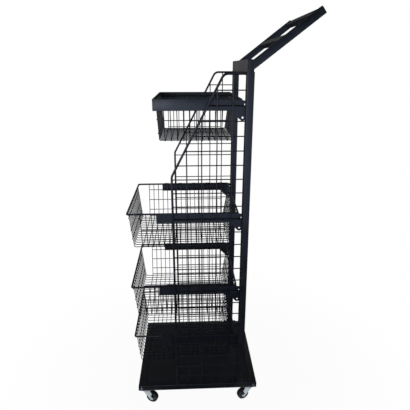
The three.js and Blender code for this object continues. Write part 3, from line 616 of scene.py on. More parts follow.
@dataclass(frozen=True)
class PowderCoat:
    """Satin black polyester powder coat on steel: a near-black skin with a faint orange peel.

    The eye gets a deep blue-black with a soft sheen that breaks up a little from place to place,
    and small dull scuffs. Sizes are in millimetres.
    """

    name: str
    colour: str = "#171a22"
    faded: str = "#1c1f28"
    roughness: float = 0.38
    roughness_spread: float = 0.06
    specular: float = 0.5
    peel: float = 7.0
    peel_depth: float = 0.05
    peel_strength: float = 0.08
    mottle: float = 45.0

    def material(self) -> bpy.types.Material:
        """Builds the node material. The real peel of 1 mm is too fine to show, so it is drawn coarser.

        Returns:
            The material.
        """
        made, tree, shader = blank(self.name)
        shader.inputs["Specular IOR Level"].default_value = self.specular
        places = node(tree, "ShaderNodeTexCoord").outputs["Object"]
        patches = node(tree, "ShaderNodeTexNoise", {"Vector": places}, in_Scale=1 / (self.mottle * MM),
                       in_Detail=4.0, in_Roughness=0.6).outputs["Fac"]
        share = node(tree, "ShaderNodeMapRange", {"Value": patches}, in_From_Min=0.35, in_From_Max=0.75)
        tone = node(tree, "ShaderNodeMix", {"0": share.outputs["Result"]}, data_type="RGBA",
                    in_6=linear(self.colour), in_7=linear(self.faded))
        tree.links.new(tone.outputs[2], shader.inputs["Base Color"])
        gloss = node(tree, "ShaderNodeMapRange", {"Value": patches}, in_From_Min=0.3, in_From_Max=0.7,
                     in_To_Min=self.roughness - self.roughness_spread,
                     in_To_Max=self.roughness + self.roughness_spread)
        tree.links.new(gloss.outputs["Result"], shader.inputs["Roughness"])
        grain = node(tree, "ShaderNodeTexNoise", {"Vector": places}, in_Scale=1 / (self.peel * MM), in_Detail=2.0)
        bump = node(tree, "ShaderNodeBump", {"Height": grain.outputs["Fac"]}, in_Strength=self.peel_strength,
                    in_Distance=self.peel_depth * MM)
        tree.links.new(bump.outputs["Normal"], shader.inputs["Normal"])
        return made


@dataclass(frozen=True)
class ZincPlate:
    """Bright zinc electroplate on pressed steel, with a clear blue passivate.

    The eye gets a pale blue-grey metal with cloudy patches, and fine press marks about 1 mm wide.
    Sizes are in millimetres.
    """

    name: str
    colour: str = "#c6ced1"
    clouded: str = "#a3afb6"
    roughness: float = 0.34
    clear_gain: float = 0.08
    cloudy_loss: float = 0.1
    cloud: float = 9.0
    mark: float = 0.9
    mark_depth: float = 0.04

    def material(self) -> bpy.types.Material:
        """Builds the node material.

        Returns:
            The material.
        """
        made, tree, shader = blank(self.name)
        shader.inputs["Metallic"].default_value = 1.0
        places = node(tree, "ShaderNodeTexCoord").outputs["Object"]
        clouds = node(tree, "ShaderNodeTexNoise", {"Vector": places}, in_Scale=1 / (self.cloud * MM),
                      in_Detail=5.0, in_Roughness=0.65).outputs["Fac"]
        tone = node(tree, "ShaderNodeMix", {"0": clouds}, data_type="RGBA", in_6=linear(self.colour),
                    in_7=linear(self.clouded))
        tree.links.new(tone.outputs[2], shader.inputs["Base Color"])
        gloss = node(tree, "ShaderNodeMapRange", {"Value": clouds}, in_From_Min=0.3, in_From_Max=0.7,
                     in_To_Min=self.roughness - self.clear_gain, in_To_Max=self.roughness + self.cloudy_loss)
        tree.links.new(gloss.outputs["Result"], shader.inputs["Roughness"])
        marks = node(tree, "ShaderNodeTexNoise", {"Vector": places}, in_Scale=1 / (self.mark * MM), in_Detail=3.0)
        bump = node(tree, "ShaderNodeBump", {"Height": marks.outputs["Fac"]}, in_Strength=0.2,
                    in_Distance=self.mark_depth * MM)
        tree.links.new(bump.outputs["Normal"], shader.inputs["Normal"])
        return made


@dataclass(frozen=True)
class MouldedBlack:
    """Moulded black rubber or nylon.

    The eye gets a matt black skin with a fine grain, and dust that lies on it in pale patches.
    Sizes are in millimetres.
    """

    name: str
    colour: str = "#161719"
    dusty: str = "#26272a"
    roughness: float = 0.72
    patch: float = 12.0
    grain: float = 0.7
    grain_depth: float = 0.05

    def material(self) -> bpy.types.Material:
        """Builds the node material.

        Returns:
            The material.
        """
        made, tree, shader = blank(self.name)
        places = node(tree, "ShaderNodeTexCoord").outputs["Object"]
        dust = node(tree, "ShaderNodeTexNoise", {"Vector": places}, in_Scale=1 / (self.patch * MM), in_Detail=6.0)
        share = node(tree, "ShaderNodeMapRange", {"Value": dust.outputs["Fac"]}, in_From_Min=0.45,
                     in_From_Max=0.8)
        tone = node(tree, "ShaderNodeMix", {"0": share.outputs["Result"]}, data_type="RGBA",
                    in_6=linear(self.colour), in_7=linear(self.dusty))
        tree.links.new(tone.outputs[2], shader.inputs["Base Color"])
        shader.inputs["Roughness"].default_value = self.roughness
        fine = node(tree, "ShaderNodeTexNoise", {"Vector": places}, in_Scale=1 / (self.grain * MM), in_Detail=2.0)
        bump = node(tree, "ShaderNodeBump", {"Height": fine.outputs["Fac"]}, in_Strength=0.25,
                    in_Distance=self.grain_depth * MM)
        tree.links.new(bump.outputs["Normal"], shader.inputs["Normal"])
        return made


# The rack's finishes, one for each kind of piece. The deck and the bearing cup take darker copies of their finish
# as painted shade.
TUBE_COAT = PowderCoat("satin_black_powder_coat_on_tube").material()
SHEET_COAT = PowderCoat("satin_black_powder_coat_on_sheet", mottle=70.0).material()
# The deck's coat is darker than the rest as painted shade under the baskets. Its higher roughness stands for a
# scuffed, duller coat.
DECK_COAT_WITH_PAINTED_SHADE = PowderCoat("scuffed_black_powder_coat_on_deck", colour="#11151c", faded="#171c24", roughness=0.6,
                       mottle=90.0).material()
WIRE_COAT = PowderCoat("satin_black_powder_coat_on_wire", peel_depth=0.0, mottle=30.0).material()
ZINC = ZincPlate("bright_zinc_plate_on_pressed_steel").material()
# The bearing cup under the caster plate takes a darker copy of the zinc as painted shade.
ZINC_WITH_PAINTED_SHADE = ZincPlate("oiled_zinc_in_the_bearing", colour="#5d6468", clouded="#33383b", roughness=0.45).material()
TYRE = MouldedBlack("black_thermoplastic_rubber_tyre").material()
HUB = MouldedBlack("black_nylon_hub", colour="#1f2022", dusty="#2f3033", roughness=0.5).material()


def keep(piece: bpy.types.Object, body: str, slot: Slot, materials: list[bpy.types.Material],
         *nodes: str) -> bpy.types.Object:
    """Dresses a finished piece and hands it to the frame.

    Args:
        piece: the piece, in place.
        body: the CAD body that it rides on.
        slot: the record's material slot. It is not used.
        materials: its materials, in the order of its faces' indices.
        nodes: the CAD nodes that it stands for.

    Returns:
        The piece.
    """
    for material in materials:
        piece.data.materials.append(material)
    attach(piece, body)
    if nodes:
        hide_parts(*nodes)
    log.info("%s: %d faces on %s", piece.name, len(piece.data.polygons), body)
    return piece


def soften(piece: bpy.types.Object, width: float, segments: int = 2) -> bpy.types.Object:
    """Rounds a piece's sharp edges.

    Args:
        piece: the piece.
        width: the bevel's width in millimetres.
        segments: faces across each bevel.

    Returns:
        The piece.
    """
    bevel = piece.modifiers.new("edge_radius", "BEVEL")
    bevel.width = width * MM
    bevel.segments = segments
    bevel.limit_method = "ANGLE"
    bevel.angle_limit = math.radians(SHARP)
    bevel.harden_normals = True
    return piece


def softened_copy(node_name: str, name: str, width: float) -> bpy.types.Object:
    """Copies a CAD node, merges its flat faces and rounds its edges.

    Args:
        node_name: the node.
        name: the copy's name.
        width: the bevel's width in millimetres.

    Returns:
        The copy.
    """
    same_place, flat = 0.001, 0.5
    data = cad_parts[node_name].data.copy()
    data.name = name
    shape = bmesh.new()
    shape.from_mesh(data)
    bmesh.ops.remove_doubles(shape, verts=shape.verts, dist=same_place * MM)
    bmesh.ops.dissolve_limit(shape, angle_limit=math.radians(flat), verts=shape.verts, edges=shape.edges)
    shape.to_mesh(data)
    shape.free()
    data.materials.clear()
    data.polygons.foreach_set("use_smooth", np.ones(len(data.polygons), bool))
    data.set_sharp_from_angle(angle=math.radians(SHARP))
    made = bpy.data.objects.new(name, data)
    bpy.context.scene.collection.objects.link(made)
    return soften(made, width)


# ---------------------------------------------------------------- sub-assemblies


@dataclass
class Base:
    """The welded ring of square tube, its deck, the rail under it and the corner bolts."""

    tube: float = 25.0
    edge_radius: float = 2.5
    wall: float = 1.5
    weld: float = 2.2
    weld_margin: float = 2.0
    weld_gap: float = 0.1
    deck_edge: float = 0.7
    rail_radius: float = 2.0
    bolt_corners: float = 11.0
    washer: float = 13.0
    washer_thickness: float = 0.9
    washer_rim: float = 0.3

    def build(self) -> None:
        """Makes every piece of the base."""
        self.ring()
        self.deck()
        self.rail()
        for end in ("front", "back"):
            for side in Side:
                self.bolt(end, side)

    def ring(self) -> None:
        """The ring: one round-edged section carried round four mitred corners."""
        low, high = box_of("base_frame")
        inset = self.tube / 2
        x, y, z = high[0] - inset, high[1] - inset, (low[2] + high[2]) / 2
        y_low = low[1] + inset
        path = np.array([[-x, y_low, z], [x, y_low, z], [x, y, z], [-x, y, z]])
        shell = Shell()
        section = rounded_rectangle(self.tube, self.tube, self.edge_radius, 5)
        shell.add(*sweep(path, UP, section, closed=True))
        for corner in path:
            outward = point(np.sign(corner[0]), np.sign(corner[1] - (y + y_low) / 2), 0)
            inner = corner - outward * (inset + self.weld_gap)
            reach = UP * (inset - self.weld_margin)
            shell.add(*bead(inner - reach, inner + reach, unit(outward), self.weld))
        keep(shell.mesh("base_ring"), RACK, Slot.FRAME, [TUBE_COAT], "base_frame")

    def deck(self) -> None:
        """The deck sheet, with its front and back flanges, from the CAD solid with rolled edges."""
        sheet = softened_copy("deck_panel", "deck_sheet", self.deck_edge)
        # The deck's darker coat is painted shade.
        keep(sheet, RACK, Slot.SHEET, [DECK_COAT_WITH_PAINTED_SHADE], "deck_panel")

    def rail(self) -> None:
        """The tube under the middle of the deck."""
        shell = Shell()
        shell.add(*level_tube("deck_rail", self.wall, self.rail_radius))
        keep(shell.mesh("deck_middle_rail"), RACK, Slot.FRAME, [TUBE_COAT], "deck_rail")

    def bolt(self, end: str, side: Side) -> None:
        """A hexagon bolt head on its washer, on the side face of the base.

        Args:
            end: front or back.
            side: the rack's side.
        """
        name = f"base_bolt_{end}_{side.word}"
        low, high = box_of(name)
        out = side.value * RIGHT
        sideways = np.cross(out, BACK)
        seat = (low + high) / 2
        # The sheet.
        seat[0] = low[0] if side is Side.RIGHT else high[0]
        half, rim, thickness = self.washer / 2, self.washer_rim, self.washer_thickness
        flat = np.array([[half - rim, 0], [half, rim], [half, thickness - rim], [half - rim, thickness]])
        head = hex_head(self.bolt_corners, high[0] - low[0] - thickness)
        shell = Shell()
        shell.add(*turned(lathe(flat, 32), BACK, sideways, seat))
        shell.add(*turned(head, BACK, sideways, seat + out * thickness))
        keep(shell.mesh(f"bolt_head_{end}_{side.word}"), RACK, Slot.ZINC, [ZINC], name)


@dataclass
class Caster:
    """A swivel caster: a plate with a bearing cup, a pressed fork, a bolt and a rubber wheel."""

    end: str
    side: Side
    plate_thickness: float = 3.0
    plate_corner: float = 7.0
    plate_edge: float = 0.5
    screw_inset: float = 8.0
    screw_hole: float = 3.2
    race_gap: float = 0.3
    sheet: float = 2.4
    fork_edge: float = 0.7
    eye: float = 9.0
    eye_hole: float = 4.3
    crown: float = 34.0
    crown_bore: float = 4.4
    crown_corner: float = 3.0
    lip: float = 8.0
    bolt: float = 8.0
    bolt_gap: float = 0.3
    washer_thickness: float = 0.8
    head_corners: float = 12.4
    head_height: float = 1.7
    nut_height: float = 1.5
    wheel_half_width: float = 9.5
    hub_radius: float = 15.5
    boss_radius: float = 6.6
    rib_half: float = 0.9
    rib_inset: float = 2.2
    rib_count: int = 6

    def __post_init__(self) -> None:
        """Reads the swivel axis, the trail and the axle's direction from the frame."""
        self.name = f"caster_{self.end}_{self.side.word}"
        plate_low, plate_high = box_of(f"{self.name}_plate")
        wheel_low, wheel_high = box_of(f"{self.name}_wheel")
        self.top, self.pin_foot = plate_high[2], plate_low[2]
        self.plate_size = plate_high[0] - plate_low[0]
        self.centre = (plate_low + plate_high) / 2
        self.axle = (wheel_low + wheel_high) / 2
        self.radius = (wheel_high[2] - wheel_low[2]) / 2
        gap = self.axle - self.centre
        gap[2] = 0
        self.trail_length = float(np.linalg.norm(gap))
        self.trail = gap / self.trail_length
        self.across = np.cross(self.trail, UP)
        self.fork_top = box_of(f"{self.name}_fork")[1][2]

    def build(self) -> None:
        """Makes the four pieces."""
        self.top_plate()
        self.fork()
        self.axle_bolt()
        self.wheel()

    def top_plate(self) -> None:
        """The square plate with four screws, the pressed bearing cup and the riveted kingpin.

        The cup, the rivet and the screws are turned from (radius, height) points under the plate.
        """
        under = self.top - self.plate_thickness
        place = point(self.centre[0], self.centre[1], under)
        reach = self.plate_size / 2 - self.screw_inset
        seats = np.array([[x, y] for x in (-reach, reach) for y in (-reach, reach)])
        corner = rounded_rectangle(self.plate_size, self.plate_size, self.plate_corner, 6)
        holes = [around(seat, self.screw_hole, 16) for seat in seats]
        shell = Shell()
        shell.add(*turned(plate([corner, *holes], self.plate_thickness), RIGHT, BACK, place))
        race = self.fork_top + self.race_gap - under
        cup = np.array([[9, race + 0.2], [13, race], [15.2, race + 0.6], [16.2, race + 2.4], [15.6, race + 4.4],
                        [16.8, -0.6], [18.2, -0.1], [18.2, 0.3]])
        # The cup is drawn in the darker zinc, as painted shade under the plate.
        shell.add(*turned(lathe(cup, 40), RIGHT, BACK, place), finish=1)
        foot = self.pin_foot - under
        rivet = np.array([[4.6, foot], [6.6, foot + 0.5], [7.5, foot + 1.5], [7.5, foot + 2.2], [4.0, foot + 2.4],
                          [4.0, -1.0]])
        shell.add(*turned(lathe(rivet, 32), RIGHT, BACK, place))
        screw = np.array([[1.8, -3.6], [4.6, -3.2], [5.4, -1.8], [5.5, 0.1]])
        shell.repeat(lathe(screw, 20), place + np.column_stack([seats, np.zeros(len(seats))]))
        piece = soften(shell.mesh(f"{self.name}_top_plate"), self.plate_edge)
        keep(piece, RACK, Slot.ZINC, [ZINC, ZINC_WITH_PAINTED_SHADE], f"{self.name}_plate")

    def fork(self) -> None:
        """The pressed fork: a round-cornered crown and two tapered legs.

        A leg's outline is the lower half of its eye and the corners of its upper part, put in the
        order of their angle about a place in the middle of the leg.
        """
        legs_out = self.fork_half_width()
        half, reach = self.crown / 2, self.trail_length
        top, height = self.fork_top, self.axle[2]
        eye = around(np.array([reach, height]), self.eye, 36)
        upper = outline([(-half, top - self.lip, 3.0), (-half, top, 0), (half + 1, top, 0),
                         (reach + self.eye, height + self.eye, 5.0)])
        shape = np.vstack([eye[eye[:, 1] < height], upper])
        middle = np.array([0.45 * reach, (height + top) / 2])
        angle = np.arctan2(shape[:, 1] - middle[1], shape[:, 0] - middle[0])
        leg = plate([shape[np.argsort(-angle)], around(np.array([reach, height]), self.eye_hole)], self.sheet)
        pin = point(self.centre[0], self.centre[1], 0)
        shell = Shell()
        for sign in (-1, 1):
            inner = sign * (legs_out - self.sheet / 2) - self.sheet / 2
            shell.add(*turned(leg, self.trail, UP, pin + inner * self.across))
        edge = rounded_rectangle(self.crown, 2 * legs_out, self.crown_corner, 5)
        crown = plate([edge, circle(self.crown_bore, 20)], self.sheet)
        shell.add(*turned(crown, self.trail, np.cross(UP, self.trail), pin + (top - self.sheet) * UP))
        piece = soften(shell.mesh(f"{self.name}_pressed_fork"), self.fork_edge, 3)
        keep(piece, f"{self.name}_swivel", Slot.ZINC, [ZINC], f"{self.name}_fork")

    def fork_half_width(self) -> float:
        """Half the fork's width over its legs, from its box.

        Along x the turned fork's box measures 2 w c + l s, where w is half its width, l its length
        along the trail, and s and c are the trail's shares along x and y.

        Returns:
            Half the width.
        """
        low, high = box_of(f"{self.name}_fork")
        s, c = abs(self.trail[0]), abs(self.trail[1])
        length = self.trail_length + self.eye + self.crown / 2
        return float((high[0] - low[0] - s * length) / (2 * c))

    def axle_bolt(self) -> None:
        """The axle: a hexagon head on one side, a lock nut on the other, each on a washer."""
        half = self.fork_half_width() + self.bolt_gap
        shell = Shell()
        reach = self.across * half
        shell.add(*straight(self.axle - reach, self.axle + reach, UP, self.bolt / 2, 20))
        washer = np.array([[5.9, 0], [6.3, 0.2], [6.3, 0.6], [5.9, self.washer_thickness]])
        for sign, height in ((-1, self.head_height), (1, self.nut_height)):
            out = sign * self.across
            axes, seat = (UP, np.cross(out, UP)), self.axle + out * half
            shell.add(*turned(lathe(washer, 28), *axes, seat))
            shell.add(*turned(hex_head(self.head_corners, height), *axes, seat + out * self.washer_thickness))
        stub = np.array([[2.2, 0], [3.4, 0], [3.4, 0.5], [2.8, 0.9]])
        shell.add(*turned(lathe(stub, 20), UP, np.cross(self.across, UP),
                          self.axle + self.across * (half + self.nut_height)))
        keep(shell.mesh(f"{self.name}_axle_bolt"), f"{self.name}_swivel", Slot.ZINC, [ZINC], f"{self.name}_axle")

    def wheel(self) -> None:
        """The wheel: a crowned tyre moulded round a dished nylon hub with ribs.

        Both are turned from closed (radius, height) points about the axle.
        """
        r, w, h, boss = self.radius, self.wheel_half_width, self.hub_radius, self.boss_radius
        tyre = np.array([[h, -w + 1.2], [h + 0.8, -w + 0.5], [r - 3.2, -w], [r - 1.2, -w + 0.9],
                         [r - 0.3, -w + 2.6], [r, -w + 5], [r, -0.25], [r, 0.25], [r, w - 5], [r - 0.3, w - 2.6],
                         [r - 1.2, w - 0.9], [r - 3.2, w], [h + 0.8, w - 0.5], [h, w - 1.2], [h, -w + 1.2]])
        hub = np.array([[4.4, -w], [boss, -w], [boss, -w + 2.4], [boss + 1, -w + 3.4], [h - 2, -w + 3.4],
                        [h - 0.6, -w + 1.4], [h + 0.2, -w + 1.2], [h + 0.2, w - 1.2], [h - 0.6, w - 1.4],
                        [h - 2, w - 3.4], [boss + 1, w - 3.4], [boss, w - 2.4], [boss, w], [4.4, w], [4.4, -w]])
        axes = (UP, np.cross(self.across, UP))
        shell = Shell()
        shell.add(*turned(lathe(tyre, 64), *axes, self.axle))
        shell.add(*turned(lathe(hub, 48), *axes, self.axle), finish=1)
        start, end, half = boss - 0.5, h - 1, self.rib_half
        rib_reach = w - self.rib_inset
        rib = plate([np.array([[start, -half], [end, -half], [end, half], [start, half]])], 2 * rib_reach)
        for turn in 2 * np.pi * np.arange(self.rib_count) / self.rib_count:
            along = math.cos(turn) * axes[0] + math.sin(turn) * axes[1]
            beside = np.cross(self.across, along)
            shell.add(*turned(rib, along, beside, self.axle - self.across * rib_reach), finish=1)
        keep(shell.mesh(f"{self.name}_tyre_and_hub", 30.0), f"{self.name}_roller", Slot.RUBBER, [TYRE, HUB],
             f"{self.name}_wheel")


@dataclass
class Upright:
    """A slotted upright on its foot."""

    side: Side
    wall: float = 2.0
    edge_radius: float = 3.0
    slot_width: float = 3.5
    slot_height: float = 15.0
    slot_pitch: float = 25.0
    slot_count: int = 49
    slot_below_top: float = 17.5
    slot_steps: int = 6
    arc_steps: int = 4
    foot_edge: float = 0.8

    def build(self) -> None:
        """Makes the upright and its foot."""
        self.post()
        foot = softened_copy(f"upright_foot_{self.side.word}", f"foot_{self.side.word}", self.foot_edge)
        keep(foot, RACK, Slot.FRAME, [TUBE_COAT], f"upright_foot_{self.side.word}")

    def skin(self, low: np.ndarray, high: np.ndarray, inset: float, radius: float,
             levels: np.ndarray) -> tuple[np.ndarray, np.ndarray, int]:
        """One skin of the tube, apart from its slotted face.

        Each level repeats the section: its round corners, from the front wall's right end round the
        back to its left end, and then the middle of the front wall.

        Args:
            low: the tube's lowest corner.
            high: the tube's highest corner.
            inset: how far the skin lies inside the tube's outside.
            radius: the radius of its corners.
            levels: the heights of the rows.

        Returns:
            The points, the faces and the number of points in a row.
        """
        middle = (low + high) / 2
        width, depth = high[0] - low[0] - 2 * inset, high[1] - low[1] - 2 * inset
        ring = rounded_rectangle(width, depth, radius, self.arc_steps)
        steps = self.arc_steps + 1
        ring = np.roll(ring, steps, axis=0)
        front = np.array([[0.0, -depth / 2]])
        row = np.vstack([ring, front]) + middle[:2]
        sides = len(row)
        points = np.column_stack([np.tile(row, (len(levels), 1)), np.repeat(levels, sides)])
        step = np.arange(len(levels) - 1)[:, None] * sides
        side = np.arange(sides - 2)[None, :]
        faces = np.stack([step + side, step + side + 1, step + side + 1 + sides, step + side + sides], axis=2)
        return points, faces.reshape(-1, 4), sides

    def post(self) -> None:
        """The tube: two skins of rows one slot pitch high, with two faces round each slot."""
        name = f"upright_{self.side.word}"
        low, high = box_of(name)
        middles = high[2] - self.slot_below_top - self.slot_pitch * np.arange(self.slot_count)[::-1]
        edges = np.append(middles - self.slot_pitch / 2, middles[-1] + self.slot_pitch / 2)
        levels = np.concatenate([[low[2]], edges, [high[2]]])
        outer, outer_faces, sides = self.skin(low, high, 0, self.edge_radius, levels)
        inner, inner_faces, _ = self.skin(low, high, self.wall, self.edge_radius - self.wall, levels)
        rim = self.slot_rims((low[0] + high[0]) / 2, low[1], middles)
        within, rim_start = len(outer), 2 * len(outer)
        deep_start = rim_start + len(rim)
        slot_faces = [*self.wraps(sides, 0, rim_start),
                      *(face[:, ::-1] for face in self.wraps(sides, within, deep_start))]
        right, left, middle = 0, sides - 2, sides - 1
        rows = np.array([0, len(levels) - 2])[:, None] * sides
        plain = [np.hstack([rows + a, rows + b, rows + b + sides, rows + a + sides])
                 for a, b in ((left, middle), (middle, right))]
        loop = np.arange(sides)
        after = (loop + 1) % sides
        foot = np.column_stack([loop, loop + within, after + within, after])
        top = (foot + (len(levels) - 1) * sides)[:, ::-1]
        shell = Shell()
        shell.add(np.vstack([outer, inner, rim, rim + self.wall * BACK]), [
            outer_faces, (inner_faces + within)[:, ::-1], *slot_faces, self.slot_walls(rim_start, deep_start),
            *plain, *((cell + within)[:, ::-1] for cell in plain), foot, top])
        piece = shell.mesh(f"slotted_upright_{self.side.word}")
        shape = bmesh.new()
        shape.from_mesh(piece.data)
        bmesh.ops.recalc_face_normals(shape, faces=shape.faces)
        shape.to_mesh(piece.data)
        shape.free()
        keep(piece, RACK, Slot.FRAME, [TUBE_COAT], name)

    def slot_rims(self, x: float, y: float, middles: np.ndarray) -> np.ndarray:
        """The slots' edges on the outer skin: half circles of half the slot's width, set apart by a run.

        Args:
            x: the middle of the front wall.
            y: the front wall's face.
            middles: the slots' heights.

        Returns:
            The points of one slot after another, from its upper right corner over the top.
        """
        half, run = self.slot_width / 2, (self.slot_height - self.slot_width) / 2
        arc = np.linspace(0, np.pi, self.slot_steps + 1)
        across, up = half * np.cos(arc), run + half * np.sin(arc)
        one = np.column_stack([x + np.append(across, -across), np.full(2 * len(arc), y), np.append(up, -up)])
        return (one[None] + middles[:, None, None] * UP).reshape(-1, 3)

    def wraps(self, sides: int, skin_start: int, rim_start: int) -> tuple[np.ndarray, np.ndarray]:
        """The two faces that wrap each slot in one skin, over its right and its left half.

        Args:
            sides: points in a row of the skin.
            skin_start: the skin's first point.
            rim_start: the first point of that skin's slots.

        Returns:
            The right faces and the left faces.
        """
        number, quarter = 2 * (self.slot_steps + 1), self.slot_steps // 2
        row = skin_start + np.arange(1, self.slot_count + 1)[:, None] * sides
        slot = rim_start + np.arange(self.slot_count)[:, None] * number
        middle, right, left = row + sides - 1, row, row + sides - 2
        right_rim = np.append(np.arange(quarter, -1, -1), np.arange(number - 1, number - 2 - quarter, -1))
        left_rim = np.arange(quarter + self.slot_steps + 1, quarter - 1, -1)
        return (np.hstack([middle, right, right + sides, middle + sides, slot + right_rim]),
                np.hstack([middle + sides, left + sides, left, middle, slot + left_rim]))

    def slot_walls(self, rim_start: int, deep_start: int) -> np.ndarray:
        """The cut faces inside the slots.

        Args:
            rim_start: the first point of the slots in the outer skin.
            deep_start: the first point of those in the inner skin.

        Returns:
            The faces, one a row.
        """
        number = 2 * (self.slot_steps + 1)
        slot = np.arange(self.slot_count)[:, None] * number
        here = np.arange(number)
        following = (here + 1) % number
        return np.stack([rim_start + slot + here, rim_start + slot + following, deep_start + slot + following,
                         deep_start + slot + here], axis=2).reshape(-1, 4)


@dataclass
class SidePanel:
    """A side panel: a heavy rod bent round the front, and a grid of rows and columns."""

    side: Side
    rod: float = 8.0
    wire: float = 4.0
    top_run: float = 73.0
    depth: float = 250.0
    slope_height: float = 339.0
    bend: float = 22.0
    first_row: float = 51.0
    row_pitch: float = 50.0
    last_row: float = 36.0
    last_column: float = 42.0
    columns: int = 4
    bite: float = 0.7
    upright_gap: float = 0.3
    rod_chamfer: float = 0.8
    crossing_weld: tuple[float, float, float] = (1.5, 2.7, 2.7)
    end_weld: tuple[float, float, float] = (3.2, 3.0, 3.4)
    end_weld_shift: float = 2.4

    def build(self) -> None:
        """Makes the panel as one welded piece.

        A row starts on the rod, at the front plus the share of the slope that lies above its bend,
        and a column ends on it. The solid's rod is square and on edge, so its half diagonal is the
        round rod's radius times sqrt(pi / 2).
        """
        name = f"side_panel_{self.side.word}"
        low, high = box_of(name)
        x = (low[0] + high[0]) / 2
        top, foot = high[2] - self.rod / 2 * math.sqrt(math.pi / 2), low[2]
        end = high[1]
        front = end + self.upright_gap - self.depth
        bend_height = top - self.slope_height
        corners = np.array([[x, end, top], [x, front + self.depth - self.top_run, top], [x, front, bend_height],
                            [x, front, foot]])
        shell = Shell()
        shell.add(*bar(fillet(corners, self.bend, 10), RIGHT, self.rod / 2, 20, self.rod_chamfer))
        layer = (self.wire - self.bite) / 2
        heights = np.arange(top - self.first_row, foot + self.last_row, -self.row_pitch)
        slope = (self.depth - self.top_run) / self.slope_height
        starts = front + np.maximum(0, heights - bend_height) * slope
        for height, start in zip(heights, starts):
            row = point(x - layer, start, height), point(x - layer, end, height)
            shell.add(*straight(*row, RIGHT, self.wire / 2, 10))
        pitch = (self.depth - self.last_column) / self.columns
        places = front + pitch * np.arange(1, self.columns + 1)
        tops = np.minimum(top, bend_height + (places - front) / slope)
        for place, height in zip(places, tops):
            column = point(x + layer, place, foot), point(x + layer, place, height)
            shell.add(*straight(*column, RIGHT, self.wire / 2, 10))
        y, z = (grid.ravel() for grid in np.meshgrid(places, heights))
        crossing = np.column_stack([np.full(y.size, x), y, z])
        below = z < np.interp(y, places, tops) - self.wire / 2
        shell.repeat(nugget(point(*self.crossing_weld)), crossing[below])
        ends = np.column_stack([np.full(len(heights), x), starts, heights])
        shell.repeat(nugget(point(*self.end_weld)), ends + self.end_weld_shift * BACK)
        collar = lathe(np.array([[4.6, 0], [5.4, 0.8], [4.9, 2.0], [4.0, 2.6]]), 24)
        shell.add(*turned(collar, RIGHT, BACK, point(x, front, foot)))
        shell.add(*turned(collar, RIGHT, UP, point(x, end, top)))
        keep(shell.mesh(f"wire_panel_{self.side.word}"), RACK, Slot.WIRE, [WIRE_COAT], name)


